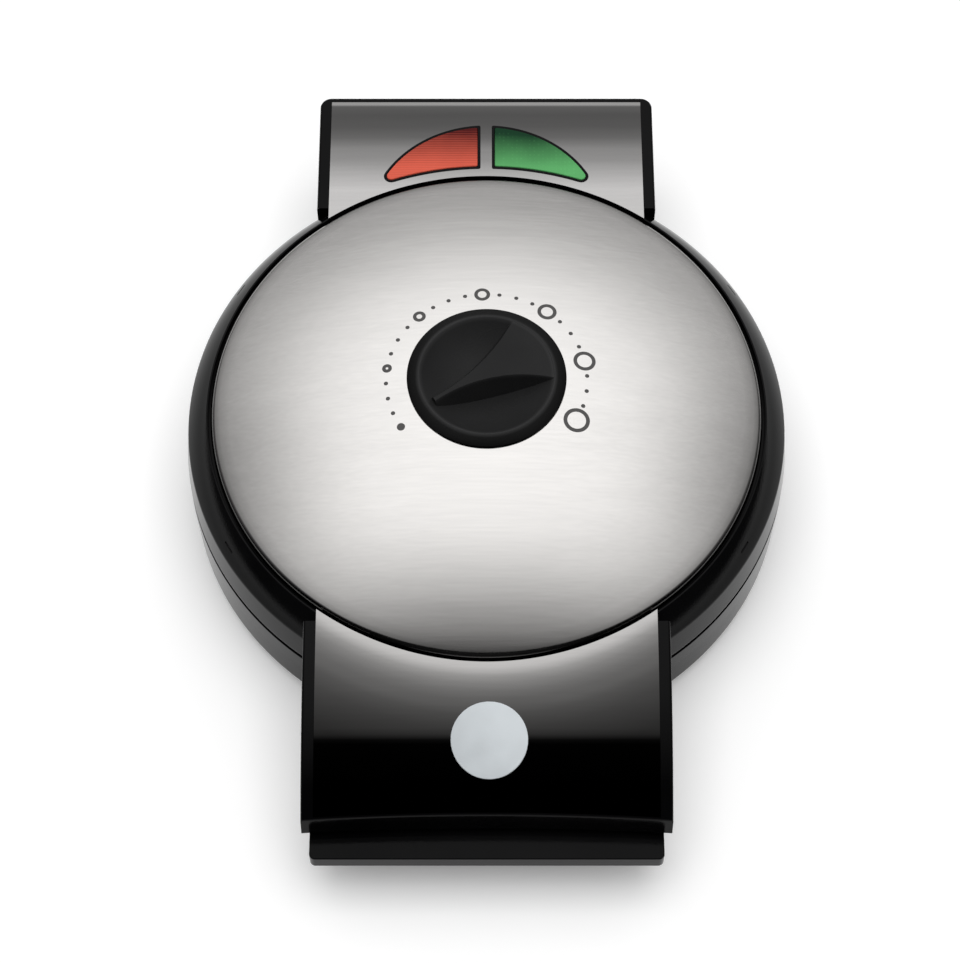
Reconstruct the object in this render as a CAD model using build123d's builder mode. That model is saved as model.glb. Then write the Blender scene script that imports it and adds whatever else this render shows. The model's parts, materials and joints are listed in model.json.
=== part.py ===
from build123d import *
import os
from math import cos, radians, sin, sqrt, tan

# An electric krumkake iron: two engraved baking plates in a round insulated casing, hinged at the rear.
# Millimetres. +Z is up, +Y points to the hinge. The origin lies on the table, midway between the front lip
# and the rear edge. Outlines are drawn from the round body's upright axis, which stands at y = body_y.

os.makedirs("parts", exist_ok=True)

# The round body, and how far the handles and the rear block reach past it
body_radius = 127.7
front_overhang = 60.8
rear_overhang = 31.8
front_reach = body_radius + front_overhang
rear_reach = body_radius + rear_overhang
body_y = (front_reach - rear_reach) / 2

# Radii of the round body
wall_draft = 1.5
shoulder_inset = 8.4
shoulder_curve = 17.2
crease_step = 0.5
tub_edge_round = 4.0
shoulder_radius = body_radius - wall_draft
rim_radius = shoulder_radius - shoulder_inset
tub_radius = body_radius - crease_step

# Heights, from the table up
foot_height = 6.0
tub_height = 20.0
frame_height = 10.5
parting_gap = 1.1
lid_wall_height = 16.6
shoulder_height = 10.8
tub_top = foot_height + tub_height
frame_top = tub_top + frame_height
lid_bottom = frame_top + parting_gap
shoulder_z = lid_bottom + lid_wall_height
rim_z = shoulder_z + shoulder_height
parting_z = (frame_top + lid_bottom) / 2

# Walls and clearances
wall = 2.8
cover_thickness = 2.0
sheet = 0.8
trim_sheet = 0.9
fit_gap = 0.3
seat_gap = 0.15
running_gap = 0.06

# Dome cover
rim_width = 2.5
rim_groove = 1.2
dome_rise = 25.5
dome_proud = 1.0
dome_hole_radius = 30.0
dome_roll = 5.0
dome_skirt = 4.5
dome_ledge = 3.3
dome_edge_radius = rim_radius - rim_width
dome_edge_z = rim_z + dome_proud
groove_radius = dome_edge_radius + rim_groove
ledge_radius = dome_edge_radius - dome_ledge
ledge_z = dome_edge_z - dome_skirt
dome_sphere = (dome_edge_radius**2 + dome_rise**2) / (2 * dome_rise)

# Baking plates
casing_width = 15.7
plate_flange = 6.0
plate_flange_thickness = 3.0
plate_flange_depth = 4.45
plate_thickness = 9.0
wafer_gap = 1.2
plate_channel_inset = 4.5
plate_channel_depth = 1.2
plate_channel_width = 2.5
ledge_thickness = 3.0
plate_flange_radius = body_radius - casing_width
plate_radius = plate_flange_radius - plate_flange
plate_channel_radius = plate_radius - plate_channel_inset
plate_top = parting_z - wafer_gap / 2
plate_bottom = plate_top - plate_thickness
flange_top = plate_top - plate_flange_depth
flange_bottom = flange_top - plate_flange_thickness
ledge_bottom = flange_bottom - ledge_thickness

# Heating elements, clamps and reflectors
element_radius = plate_radius - 38.0
element_size = 6.6
element_gap_angle = 60.0
element_pin_radius = 1.6
element_pin_length = 12.0
clamp_sheet = 1.5
clamp_foot = 7.0
clamp_angle = 11.0
clamp_count = 3
reflector_radius = plate_flange_radius - 1.0
reflector_depth = 8.2
reflector_draft = 6.5
reflector_flange = 7.0
reflector_window_x = 90.0
reflector_window_y = 26.0

# Screws
screw_radius = 1.5
screw_head_radius = 2.8
screw_head_height = 1.8
screw_bite = 6.0
casing_screw_radius = 1.8
casing_head_radius = 3.4
casing_head_height = 2.2
casing_counterbore = 6.0
casing_post_radius = 5.0
casing_post_inset = 10.5
casing_post_angle = 27.4
casing_post_x = (body_radius - casing_post_inset) * cos(radians(casing_post_angle))
casing_post_y = (body_radius - casing_post_inset) * sin(radians(casing_post_angle))
casing_screw_bite = 8.0

# Feet
foot_radius = 9.0
foot_stem_radius = 3.0
foot_barb_height = 1.5
foot_inset = 16.8
foot_angle = 56.0
foot_x = (body_radius - foot_inset) * cos(radians(foot_angle))
foot_y = (body_radius - foot_inset) * sin(radians(foot_angle))

# Hinge
hinge_y = body_radius + 5.3
hinge_z = 35.0
hinge_block_radius = 16.0
hinge_boss_radius = 6.0
hinge_boss_length = 13.0
hinge_lobe_radius = 9.0
hinge_pin_radius = 3.0
hinge_pin_head_radius = 5.0
hinge_pin_head = 1.5
hinge_head_gap = 0.2
opening_angle = 95.0

# Rear block of the lid
block_width = 148.0
rail_width = 5.0
rear_rail = 3.0
rear_wall = 2.5
rim_lip = 0.9
top_wall = 2.0
block_corner = 5.0
trim_recess = 1.0
block_half = block_width / 2
cheek_inner = block_half - rail_width
hinge_block_half = cheek_inner - fit_gap
block_top = rim_z + 0.3

# Front handles
handle_root_y = 39.7 - body_radius
handle_root_z = rim_z + 2.3
handle_curve = 178.0
handle_front = body_radius + 51.3
handle_notch = 3.0
handle_skirt_z = frame_top - 1.0
handle_clear = 0.9
lower_handle_width = 142.0
lower_handle_top = 32.0
lower_handle_depth = 7.7
lower_handle_corner = 4.0
handle_cover_inset = 0.4
handle_boss_x = 46.0
handle_boss_y = -body_radius - 22.3
handle_boss_radius = 4.2
badge_radius = 15.5
badge_thickness = 0.5
badge_x = 1.2
badge_y = -body_radius - 20.3

# Lenses and lamps
lens_arc_radius = 53.6
lens_inner_radius = rim_radius + 5.3
lens_arc_y = lens_inner_radius - 34.6
lens_split = 5.7
lens_tip = 2.0
lens_corner = 0.8
lens_proud = 0.6
lens_flange = 1.6
lens_flange_thickness = 1.5
lens_lip = 1.0
lamp_box_x = 84.0
lamp_box_y = 19.0
lamp_box_depth = 9.0
lamp_wall = 1.5
lamp_radius = 3.0
lamp_length = 18.0
lamp_place_x = 18.0
lamp_ear = 11.0
lamp_ear_thickness = 2.0
lamp_ear_lift = 3.0
lamp_screw_x = 48.0
lamp_screw_bite = 5.0
lamp_boss_radius = 3.6

# Dial and thermostat
knob_flange_radius = 33.0
knob_face_radius = 28.0
knob_body_radius = 28.5
knob_lift = 0.35
knob_edge = 0.4
knob_chamfer_rise = 2.1
knob_dish_depth = 9.5
knob_depth = 12.7
knob_hub_radius = 6.5
knob_hub_length = 8.0
pointer_angle = 210.0
pointer_draft = 24.0
pointer_far = ((-24.5, 1.7), (-4.1, 4.9), (28.0, 21.6))
pointer_near = ((28.0, -20.4), (0.0, -2.3), (-24.5, -0.6))
shaft_radius = 3.0
shaft_flat = 1.0
thermostat_x = 30.0
thermostat_y = 24.0
thermostat_height = 15.0
bush_radius = 5.0
bush_height = 6.0
bracket_length = 44.0
bracket_width = 20.0
reflector_hole_radius = 26.0
clip_sheet = 0.8
clip_height = 3.5

# Cord inlet, terminal block and thermal fuse
terminal_x = 34.0
terminal_y = 18.0
terminal_height = 7.6
terminal_pitch = 10.0
terminal_bore_radius = 1.6
terminal_place_x = 40.0
terminal_place_y = 62.0
fuse_radius = 2.0
fuse_length = 11.0
fuse_place_y = 38.0
fuse_clip_length = 16.0
fuse_clip_width = 6.0
gland_angle = 52.0
gland_z = 16.5
gland_radius = 7.0
gland_bore_radius = 4.0
gland_flange_radius = 8.6
gland_flange = 2.0
gland_length = 10.0

# Leads
lead_radius = 1.1
lead_bend = 2.0
lead_turn_x = 12.0
lead_rise_x = 6.0
lead_row_a = 5.0
lead_row_b = 8.0
lead_port_x = 15.0
lead_port_z = 54.0
lead_port_height = 7.5
lead_port_length = 26.0
lead_over_z = 60.5
blade_x = 24.0

# Moulded details
slot_length = 6.0
slot_width = 1.2
slot_depth = 1.6
slot_radius = shoulder_radius - 2.6
slot_z = shoulder_z + 5.6
slot_angle = 30.5
vent_length = 30.0
vent_width = 4.0
vent_radius = 52.0
vent_count = 8

body_axis = Axis((0, body_y, 0), (0, 0, 1))
profile_plane = Plane.XZ.offset(-body_y)
side_plane = Plane(origin=(0, body_y, 0), x_dir=(0, 1, 0), z_dir=(1, 0, 0))
underside = Plane(origin=(0, body_y, foot_height), x_dir=(1, 0, 0), z_dir=(0, 0, -1))
mid_plane = Plane(origin=(0, body_y, parting_z))
hinge_axis = Axis((0, body_y + hinge_y, hinge_z), (1, 0, 0))


def level(height):
    """A horizontal plane at a height above the table, centred on the body's axis."""
    return Plane(origin=(0, body_y, height))


def across(x):
    """An upright plane facing +X at a distance x, centred on the hinge pins."""
    return Plane(origin=(x, body_y + hinge_y, hinge_z), x_dir=(0, 1, 0), z_dir=(1, 0, 0))


def outline(plane, points):
    """A closed flat outline with straight sides."""
    with BuildSketch(plane) as flat:
        with BuildLine():
            Polyline(*points, close=True)
        make_face()
    return flat.sketch


def disc(height, radius):
    """A round outline at a height above the table."""
    with BuildSketch(level(height)) as flat:
        Circle(radius)
    return flat.sketch


def dome_z(radius):
    """Height of the dome's outer face at a distance from the body's axis."""
    return dome_edge_z + dome_rise - dome_sphere + sqrt(dome_sphere**2 - radius**2)


def handle_z(y, depth=0.0):
    """Height of the upper handle's curved top at y, or of a face that lies a depth below it."""
    return handle_root_z - handle_curve + sqrt((handle_curve - depth) ** 2 - (y - handle_root_y) ** 2)


def casing_inner(height):
    """Inner radius of the lid housing's wall at a height."""
    share = (height - lid_bottom) / (shoulder_z - wall - lid_bottom)
    low = body_radius - wall - 0.2
    return low + share * (shoulder_radius - wall - 1.0 - low)


def hinge_block(radius, half_width, bottom, top):
    """The base's rear block: flat-topped, and rounded about the hinge axis below and behind it."""
    reach = sqrt(radius**2 - (hinge_z - top) ** 2) if top < hinge_z else radius
    with BuildSketch(side_plane) as flat:
        with Locations((hinge_y, hinge_z)):
            Circle(radius)
        with Locations((hinge_y, bottom)):
            Rectangle(2 * radius, top - bottom, align=(Align.CENTER, Align.MIN), mode=Mode.INTERSECT)
        with Locations((hinge_y, bottom)):
            Rectangle(radius + wall, top - bottom, align=(Align.MAX, Align.MIN))
        if top > hinge_z:
            with Locations((hinge_y, hinge_z)):
                Rectangle(reach, top - hinge_z, align=(Align.MIN, Align.MIN))
    return extrude(flat.sketch, amount=half_width, both=True, mode=Mode.PRIVATE)


def handle_side(depth, back, front, low):
    """Side outline under the upper handle's curved top, a depth below it."""
    middle = (back + front) / 2
    with BuildSketch(side_plane) as flat:
        with BuildLine():
            ThreePointArc((back, handle_z(back, depth)), (middle, handle_z(middle, depth)), (front, handle_z(front, depth)))
            Polyline((front, handle_z(front, depth)), (front, low), (back, low), (back, handle_z(back, depth)))
        make_face()
    return flat.sketch


def front_cutter(inset):
    """Everything in front of the upper handle's hollowed front edge, moved back by an inset."""
    notch_radius = (block_half**2 + handle_notch**2) / (2 * handle_notch)
    with BuildSketch(level(0)) as flat:
        with Locations((0, -handle_front + handle_notch + inset - notch_radius)):
            Circle(notch_radius)
    return extrude(flat.sketch, amount=2 * rim_z, mode=Mode.PRIVATE)


def lens_shape(side, grow):
    """Outline of one lens: a crescent between two arcs, cut upright beside the middle of the block."""
    with BuildSketch(level(0)) as flat:
        with Locations((0, lens_arc_y)):
            Circle(lens_arc_radius + grow)
        Circle(lens_inner_radius - grow, mode=Mode.SUBTRACT)
        with Locations((side * (lens_split / 2 - grow), lens_inner_radius)):
            Rectangle(
                block_width, block_width, align=(Align.MIN if side > 0 else Align.MAX, Align.CENTER), mode=Mode.INTERSECT
            )
        corners = flat.vertices().sort_by(lambda corner: abs(corner.X))
        fillet(corners[-1], lens_tip + grow / 2)
        corners = flat.vertices().sort_by(lambda corner: abs(corner.X))
        fillet(corners[:2], lens_corner)
    return flat.sketch_local


def lens_prism(side, grow, low, high):
    """A lens outline made solid between two heights."""
    face = lens_shape(side, grow)
    return extrude(level(low) * face, amount=high - low, mode=Mode.PRIVATE)


def drum(radius, low, high):
    """A plain cylinder about the body's axis between two heights."""
    return extrude(disc(low, radius), amount=high - low, mode=Mode.PRIVATE)


def handle_skin(top_depth, bottom_depth, inset):
    """A sheet that follows the upper handle's curved top, between two depths and inside its rails."""
    under = handle_side(bottom_depth, handle_root_y, -handle_front, handle_skirt_z)
    over = handle_side(top_depth, handle_root_y, -handle_front, handle_skirt_z)
    half = cheek_inner - inset
    skin = extrude(over, amount=half, both=True, mode=Mode.PRIVATE)
    skin -= extrude(under, amount=half, both=True, mode=Mode.PRIVATE)
    skin -= front_cutter(rim_lip + inset)
    return skin - drum(rim_radius + rim_lip + inset, handle_skirt_z, 2 * rim_z)


def lead(*points):
    """A round insulated lead that follows straight runs with rounded bends."""
    with BuildPart(mode=Mode.PRIVATE) as wire:
        with BuildLine() as route:
            FilletPolyline(*points, radius=lead_bend)
        with BuildSketch(route.line ^ 0):
            Circle(lead_radius)
        sweep()
    return wire.part


def rear_trim_face(inset):
    """Plan of the rear trim sheet: the top of the rear block inside its rails, with holes for the lens collars."""
    with BuildSketch(level(block_top - trim_recess)) as flat:
        with Locations((0, rear_reach - rear_rail - inset)):
            Rectangle(2 * (cheek_inner - inset), rear_reach / 2, align=(Align.CENTER, Align.MAX))
        Circle(rim_radius + rim_lip + inset, mode=Mode.SUBTRACT)
        for side in (-1, 1):
            add(lens_shape(side, seat_gap + lens_lip + inset), mode=Mode.SUBTRACT)
    return flat.sketch


# ---- Base ----

# Base tub: the lower casing, with screw posts, foot seats, vents and the lower half of the hinge block
block_floor = hinge_z - hinge_block_radius
with BuildPart() as base_tub:
    with BuildSketch(level(foot_height)):
        Circle(tub_radius)
    extrude(amount=tub_height)
    fillet(base_tub.edges().group_by(Axis.Z)[0], tub_edge_round)
    add(hinge_block(hinge_block_radius, hinge_block_half, block_floor, tub_top))
    extrude(disc(foot_height + wall, tub_radius - wall), amount=tub_height, mode=Mode.SUBTRACT)
    add(
        hinge_block(hinge_block_radius - wall, hinge_block_half - wall, block_floor + wall, tub_top),
        mode=Mode.SUBTRACT,
    )
    with BuildSketch(level(foot_height)):
        with GridLocations(2 * casing_post_x, 2 * casing_post_y, 2, 2):
            Circle(casing_post_radius)
    extrude(amount=tub_height)
    with Locations(underside):
        with GridLocations(2 * casing_post_x, 2 * casing_post_y, 2, 2):
            CounterBoreHole(
                casing_screw_radius + seat_gap, casing_head_radius + fit_gap, casing_counterbore, tub_height
            )
        with GridLocations(2 * foot_x, 2 * foot_y, 2, 2):
            Hole(foot_stem_radius + seat_gap, wall)
    with BuildSketch(level(foot_height)):
        with PolarLocations(vent_radius, vent_count, start_angle=180 / vent_count):
            SlotOverall(vent_length, vent_width)
    extrude(amount=wall, mode=Mode.SUBTRACT)
    gland_dir = Vector(cos(radians(gland_angle)), sin(radians(gland_angle)), 0)
    gland_centre = Vector(0, body_y, gland_z) + gland_dir * tub_radius
    gland_plane = Plane(origin=gland_centre, z_dir=gland_dir)
    with BuildSketch(gland_plane):
        Circle(gland_radius)
    extrude(amount=-gland_length, mode=Mode.SUBTRACT)
base_tub.part.label = "base_tub"
export_step(base_tub.part, "parts/base_tub.step")

# Base frame: the ring that carries the lower plate, the lower handle and the upper half of the hinge block
ring_wall_radius = plate_flange_radius + 0.5
ledge_inner = plate_radius + 1.0
flange_screw_radius = (ledge_inner + plate_flange_radius) / 2
handle_low = lower_handle_top - lower_handle_depth
with BuildPart() as base_frame:
    with BuildSketch(level(handle_low)):
        with Locations((0, -front_reach)):
            RectangleRounded(lower_handle_width, front_reach, lower_handle_corner, align=(Align.CENTER, Align.MIN))
    extrude(amount=lower_handle_depth)
    with BuildSketch(level(handle_low)):
        with Locations((0, -front_reach + wall)):
            Rectangle(lower_handle_width - 2 * wall, front_reach, align=(Align.CENTER, Align.MIN))
    extrude(amount=lower_handle_depth - wall, mode=Mode.SUBTRACT)
    extrude(disc(handle_low, tub_radius + fit_gap), amount=tub_top - handle_low, mode=Mode.SUBTRACT)
    add(hinge_block(hinge_block_radius, hinge_block_half, tub_top, frame_top))
    add(hinge_block(hinge_block_radius - wall, hinge_block_half - wall, tub_top, frame_top - wall), mode=Mode.SUBTRACT)
    extrude(disc(tub_top, body_radius - wall), amount=frame_height, mode=Mode.SUBTRACT)
    ring = outline(
        profile_plane,
        (
            (body_radius, tub_top),
            (body_radius, frame_top),
            (ring_wall_radius, frame_top),
            (ring_wall_radius, flange_bottom),
            (ledge_inner, flange_bottom),
            (ledge_inner, tub_top),
        ),
    )
    revolve(ring, axis=body_axis)
    for side in (-1, 1):
        with BuildSketch(across(side * hinge_block_half)):
            Circle(hinge_boss_radius)
        extrude(amount=-side * hinge_boss_length)
        with BuildSketch(across(side * hinge_block_half)):
            Circle(hinge_pin_radius + running_gap)
        extrude(amount=-side * hinge_boss_length, mode=Mode.SUBTRACT)
    with BuildSketch(level(tub_top)):
        with GridLocations(2 * casing_post_x, 2 * casing_post_y, 2, 2):
            Circle(casing_screw_radius + seat_gap)
    extrude(amount=casing_screw_bite, mode=Mode.SUBTRACT)
    with BuildSketch(level(tub_top)):
        with PolarLocations(flange_screw_radius, 4, start_angle=45):
            Circle(screw_radius + seat_gap)
    extrude(amount=flange_bottom - tub_top, mode=Mode.SUBTRACT)
base_frame.part.label = "base_frame"
export_step(base_frame.part, "parts/base_frame.step")

# Feet: four rubber pads, each with a barbed stem pushed through the tub's floor
with BuildPart() as base_feet:
    with BuildSketch(level(0)):
        with GridLocations(2 * foot_x, 2 * foot_y, 2, 2):
            Circle(foot_radius)
    extrude(amount=foot_height)
    chamfer(base_feet.edges().group_by(Axis.Z)[0], wall / 3)
    with BuildSketch(level(foot_height)):
        with GridLocations(2 * foot_x, 2 * foot_y, 2, 2):
            Circle(foot_stem_radius)
    extrude(amount=wall)
    with BuildSketch(level(foot_height + wall)):
        with GridLocations(2 * foot_x, 2 * foot_y, 2, 2):
            Circle(foot_stem_radius + 2 * seat_gap + wall / 3)
    extrude(amount=foot_barb_height, taper=15)
base_feet.part.label = "base_feet"
export_step(base_feet.part, "parts/base_feet.step")

# Casing screws: they hold the tub up against the frame
casing_head_z = foot_height + casing_counterbore - casing_head_height
with BuildPart() as base_screws:
    with BuildSketch(level(casing_head_z)):
        with GridLocations(2 * casing_post_x, 2 * casing_post_y, 2, 2):
            Circle(casing_head_radius)
    extrude(amount=casing_head_height)
    with BuildSketch(level(foot_height + casing_counterbore)):
        with GridLocations(2 * casing_post_x, 2 * casing_post_y, 2, 2):
            Circle(casing_screw_radius)
    extrude(amount=tub_height - casing_counterbore + casing_screw_bite - fit_gap)
base_screws.part.label = "base_screws"
export_step(base_screws.part, "parts/base_screws.step")

# Lower handle cover: closes the handle from below
with BuildPart() as lower_handle_cover:
    with BuildSketch(level(handle_low)):
        with Locations((0, -front_reach + wall + fit_gap)):
            Rectangle(lower_handle_width - 2 * (wall + fit_gap), front_reach / 2, align=(Align.CENTER, Align.MIN))
        Circle(body_radius + fit_gap, mode=Mode.SUBTRACT)
    extrude(amount=cover_thickness)
lower_handle_cover.part.label = "lower_handle_cover"
export_step(lower_handle_cover.part, "parts/lower_handle_cover.step")

# Hinge pins: shouldered steel pins, fixed in the base's bosses, on which the lid's cheeks turn
with BuildPart() as hinge_pins:
    for side in (-1, 1):
        with BuildSketch(across(side * block_half)):
            Circle(hinge_pin_head_radius)
        extrude(amount=-side * hinge_pin_head)
        with BuildSketch(across(side * (block_half - hinge_pin_head))):
            Circle(hinge_pin_radius)
        extrude(amount=-side * (rail_width - hinge_pin_head + fit_gap + hinge_boss_length))
hinge_pins.part.label = "hinge_pins"
export_step(hinge_pins.part, "parts/hinge_pins.step")

# Cord gland: the bush in the tub's wall that the mains cord would pass through
with BuildPart() as cord_gland:
    with BuildSketch(gland_plane.offset(gland_flange)):
        Circle(gland_flange_radius)
    extrude(amount=seat_gap - gland_flange)
    with BuildSketch(gland_plane.offset(seat_gap)):
        Circle(gland_radius - seat_gap)
    extrude(amount=-seat_gap - gland_length)
    with BuildSketch(gland_plane.offset(gland_flange)):
        Circle(gland_bore_radius)
    extrude(amount=-gland_flange - gland_length, mode=Mode.SUBTRACT)
cord_gland.part.label = "cord_gland"
export_step(cord_gland.part, "parts/cord_gland.step")

# Terminal block: three-way porcelain block on the tub's floor, bored for the leads
terminal_low = foot_height + wall
terminal_front = (terminal_place_x, body_y + terminal_place_y - terminal_y / 2, terminal_low)
with BuildPart() as terminal_block:
    with BuildSketch(level(terminal_low)):
        with Locations((terminal_place_x, terminal_place_y)):
            Rectangle(terminal_x, terminal_y)
    extrude(amount=terminal_height)
    chamfer(terminal_block.edges().group_by(Axis.Z)[-1], sheet)
    with BuildSketch(Plane(origin=terminal_front, x_dir=(1, 0, 0), z_dir=(0, -1, 0))):
        with Locations((0, terminal_height / 3)):
            with GridLocations(terminal_pitch, 1, 3, 1):
                Circle(terminal_bore_radius)
    extrude(amount=-terminal_y, mode=Mode.SUBTRACT)
    with BuildSketch(level(terminal_low + terminal_height)):
        with Locations((terminal_place_x, terminal_place_y)):
            with GridLocations(terminal_pitch, terminal_y / 2, 3, 2):
                Circle(terminal_bore_radius + seat_gap)
    extrude(amount=-terminal_height / 2, mode=Mode.SUBTRACT)
terminal_block.part.label = "terminal_block"
export_step(terminal_block.part, "parts/terminal_block.step")

# Terminal screws: six small brass screws that pinch the lead ends
with BuildPart() as terminal_screws:
    with BuildSketch(level(terminal_low + terminal_height - sheet)):
        with Locations((terminal_place_x, terminal_place_y)):
            with GridLocations(terminal_pitch, terminal_y / 2, 3, 2):
                Circle(terminal_bore_radius)
    extrude(amount=sheet - terminal_height / 2)
terminal_screws.part.label = "terminal_screws"
export_step(terminal_screws.part, "parts/terminal_screws.step")


# ---- Heating set: the lower one is drawn first, and the upper one is its mirror image ----

# Lower baking plate: cast aluminium, with an overflow channel and a seating flange
with BuildPart() as lower_plate:
    plate_outline = outline(
        profile_plane,
        (
            (0, plate_bottom),
            (plate_radius, plate_bottom),
            (plate_radius, flange_bottom),
            (plate_flange_radius, flange_bottom),
            (plate_flange_radius, flange_top),
            (plate_radius, flange_top),
            (plate_radius, plate_top),
            (plate_channel_radius + plate_channel_width / 2, plate_top),
            (plate_channel_radius, plate_top - plate_channel_depth),
            (plate_channel_radius - plate_channel_width / 2, plate_top),
            (0, plate_top),
        ),
    )
    revolve(plate_outline, axis=body_axis)
    clamp_screw_radius = element_radius - element_size / 2 - seat_gap - clamp_sheet - clamp_foot / 2
    with BuildSketch(level(plate_bottom)):
        with PolarLocations(clamp_screw_radius, clamp_count, start_angle=-90):
            Circle(screw_radius + seat_gap)
    extrude(amount=screw_bite, mode=Mode.SUBTRACT)
    with BuildSketch(level(flange_bottom)):
        with PolarLocations(flange_screw_radius, 4, start_angle=45):
            Circle(screw_radius + seat_gap)
    extrude(amount=plate_flange_thickness - fit_gap, mode=Mode.SUBTRACT)
    fuse_screw_x = fuse_radius + sheet + fuse_clip_length / 4
    with BuildSketch(level(plate_bottom)):
        with Locations((fuse_screw_x, fuse_place_y)):
            Circle(screw_radius + seat_gap)
    extrude(amount=screw_bite, mode=Mode.SUBTRACT)
lower_plate.part.label = "lower_plate"
export_step(lower_plate.part, "parts/lower_plate.step")

# Lower element: a tubular loop pressed to the plate's back, flattened to eight sides, with two end pins
element_z = plate_bottom - element_size / 2
start_angle = 90 + element_gap_angle / 2
start_dir = Vector(cos(radians(start_angle)), sin(radians(start_angle)), 0)
element_plane = Plane(origin=(0, body_y, 0), x_dir=start_dir, z_dir=start_dir.cross(Vector(0, 0, 1)))
with BuildPart() as lower_element:
    with BuildSketch(element_plane):
        with Locations((element_radius, element_z)):
            RegularPolygon(element_size / 2, 8, major_radius=False, rotation=22.5)
    revolve(axis=body_axis, revolution_arc=360 - element_gap_angle)
    for side in (-1, 1):
        end_dir = Vector(side * start_dir.X, start_dir.Y, 0)
        end_plane = Plane(
            origin=Vector(0, body_y, element_z) + end_dir * element_radius,
            z_dir=Vector(-side * start_dir.Y, side * start_dir.X, 0) * -side,
        )
        with BuildSketch(end_plane):
            Circle(element_pin_radius)
        extrude(amount=element_pin_length, both=True)
lower_element.part.label = "lower_element"
export_step(lower_element.part, "parts/lower_element.step")

# Lower element clamps: three hat-shaped straps that press the loop to the plate
with BuildPart() as lower_clamps:
    inner_foot = element_radius - element_size / 2 - seat_gap - clamp_sheet
    outer_foot = element_radius + element_size / 2 + seat_gap + clamp_sheet
    crown_z = plate_bottom - element_size - clamp_sheet
    foot_z = plate_bottom - clamp_sheet
    clamp_points = (
        (inner_foot - clamp_foot, plate_bottom),
        (inner_foot + clamp_sheet, plate_bottom),
        (inner_foot + clamp_sheet, crown_z + clamp_sheet),
        (outer_foot - clamp_sheet, crown_z + clamp_sheet),
        (outer_foot - clamp_sheet, plate_bottom),
        (outer_foot + clamp_foot, plate_bottom),
        (outer_foot + clamp_foot, foot_z),
        (outer_foot, foot_z),
        (outer_foot, crown_z),
        (inner_foot, crown_z),
        (inner_foot, foot_z),
        (inner_foot - clamp_foot, foot_z),
    )
    for index in range(clamp_count):
        turn = -90 + 360 * index / clamp_count - clamp_angle / 2
        clamp_dir = Vector(cos(radians(turn)), sin(radians(turn)), 0)
        clamp_plane = Plane(origin=(0, body_y, 0), x_dir=clamp_dir, z_dir=clamp_dir.cross(Vector(0, 0, 1)))
        revolve(outline(clamp_plane, clamp_points), axis=body_axis, revolution_arc=clamp_angle)
    with BuildSketch(level(foot_z)):
        with PolarLocations(clamp_screw_radius, clamp_count, start_angle=-90):
            Circle(screw_radius + seat_gap)
    extrude(amount=clamp_sheet, mode=Mode.SUBTRACT)
lower_clamps.part.label = "lower_clamps"
export_step(lower_clamps.part, "parts/lower_clamps.step")

# Lower clamp screws
with BuildPart() as lower_clamp_screws:
    with BuildSketch(level(foot_z - screw_head_height)):
        with PolarLocations(clamp_screw_radius, clamp_count, start_angle=-90):
            Circle(screw_head_radius)
    extrude(amount=screw_head_height)
    with BuildSketch(level(foot_z)):
        with PolarLocations(clamp_screw_radius, clamp_count, start_angle=-90):
            Circle(screw_radius)
    extrude(amount=clamp_sheet + screw_bite - fit_gap)
lower_clamp_screws.part.label = "lower_clamp_screws"
export_step(lower_clamp_screws.part, "parts/lower_clamp_screws.step")

# Thermal fuse: a small metal capsule held against the back of the lower plate
fuse_plane = Plane(origin=(0, body_y + fuse_place_y, plate_bottom), x_dir=(1, 0, 0), z_dir=(0, -1, 0))
fuse_drop = -fuse_radius - seat_gap
with BuildPart() as thermal_fuse:
    with BuildSketch(fuse_plane):
        with Locations((0, fuse_drop)):
            Circle(fuse_radius)
    extrude(amount=fuse_length / 2, both=True)
thermal_fuse.part.label = "thermal_fuse"
export_step(thermal_fuse.part, "parts/thermal_fuse.step")

# Fuse clip: a sheet saddle round the fuse, with one foot screwed to the plate
fuse_seat = fuse_radius + running_gap
with BuildPart() as fuse_clip:
    with BuildSketch(fuse_plane):
        with Locations((0, fuse_drop)):
            Circle(fuse_seat + sheet)
        with Locations((0, fuse_drop)):
            Rectangle(2 * (fuse_seat + sheet), -fuse_drop, align=(Align.CENTER, Align.MIN))
        with Locations((fuse_seat, 0)):
            Rectangle(fuse_clip_length / 2, sheet, align=(Align.MIN, Align.MAX))
        with Locations((0, fuse_drop)):
            Circle(fuse_seat, mode=Mode.SUBTRACT)
        with Locations((0, fuse_drop)):
            Rectangle(2 * fuse_seat, -fuse_drop, align=(Align.CENTER, Align.MIN), mode=Mode.SUBTRACT)
        Rectangle(fuse_clip_length, fuse_seat, align=(Align.CENTER, Align.MIN), mode=Mode.SUBTRACT)
    extrude(amount=fuse_clip_width / 2, both=True)
    with BuildSketch(level(plate_bottom - sheet)):
        with Locations((fuse_screw_x, fuse_place_y)):
            Circle(screw_radius + seat_gap)
    extrude(amount=sheet, mode=Mode.SUBTRACT)
fuse_clip.part.label = "fuse_clip"
export_step(fuse_clip.part, "parts/fuse_clip.step")

# Fuse clip screw
with BuildPart() as fuse_clip_screw:
    with BuildSketch(level(plate_bottom - sheet - screw_head_height)):
        with Locations((fuse_screw_x, fuse_place_y)):
            Circle(screw_head_radius)
    extrude(amount=screw_head_height)
    with BuildSketch(level(plate_bottom - sheet)):
        with Locations((fuse_screw_x, fuse_place_y)):
            Circle(screw_radius)
    extrude(amount=sheet + screw_bite - fit_gap)
fuse_clip_screw.part.label = "fuse_clip_screw"
export_step(fuse_clip_screw.part, "parts/fuse_clip_screw.step")

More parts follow.
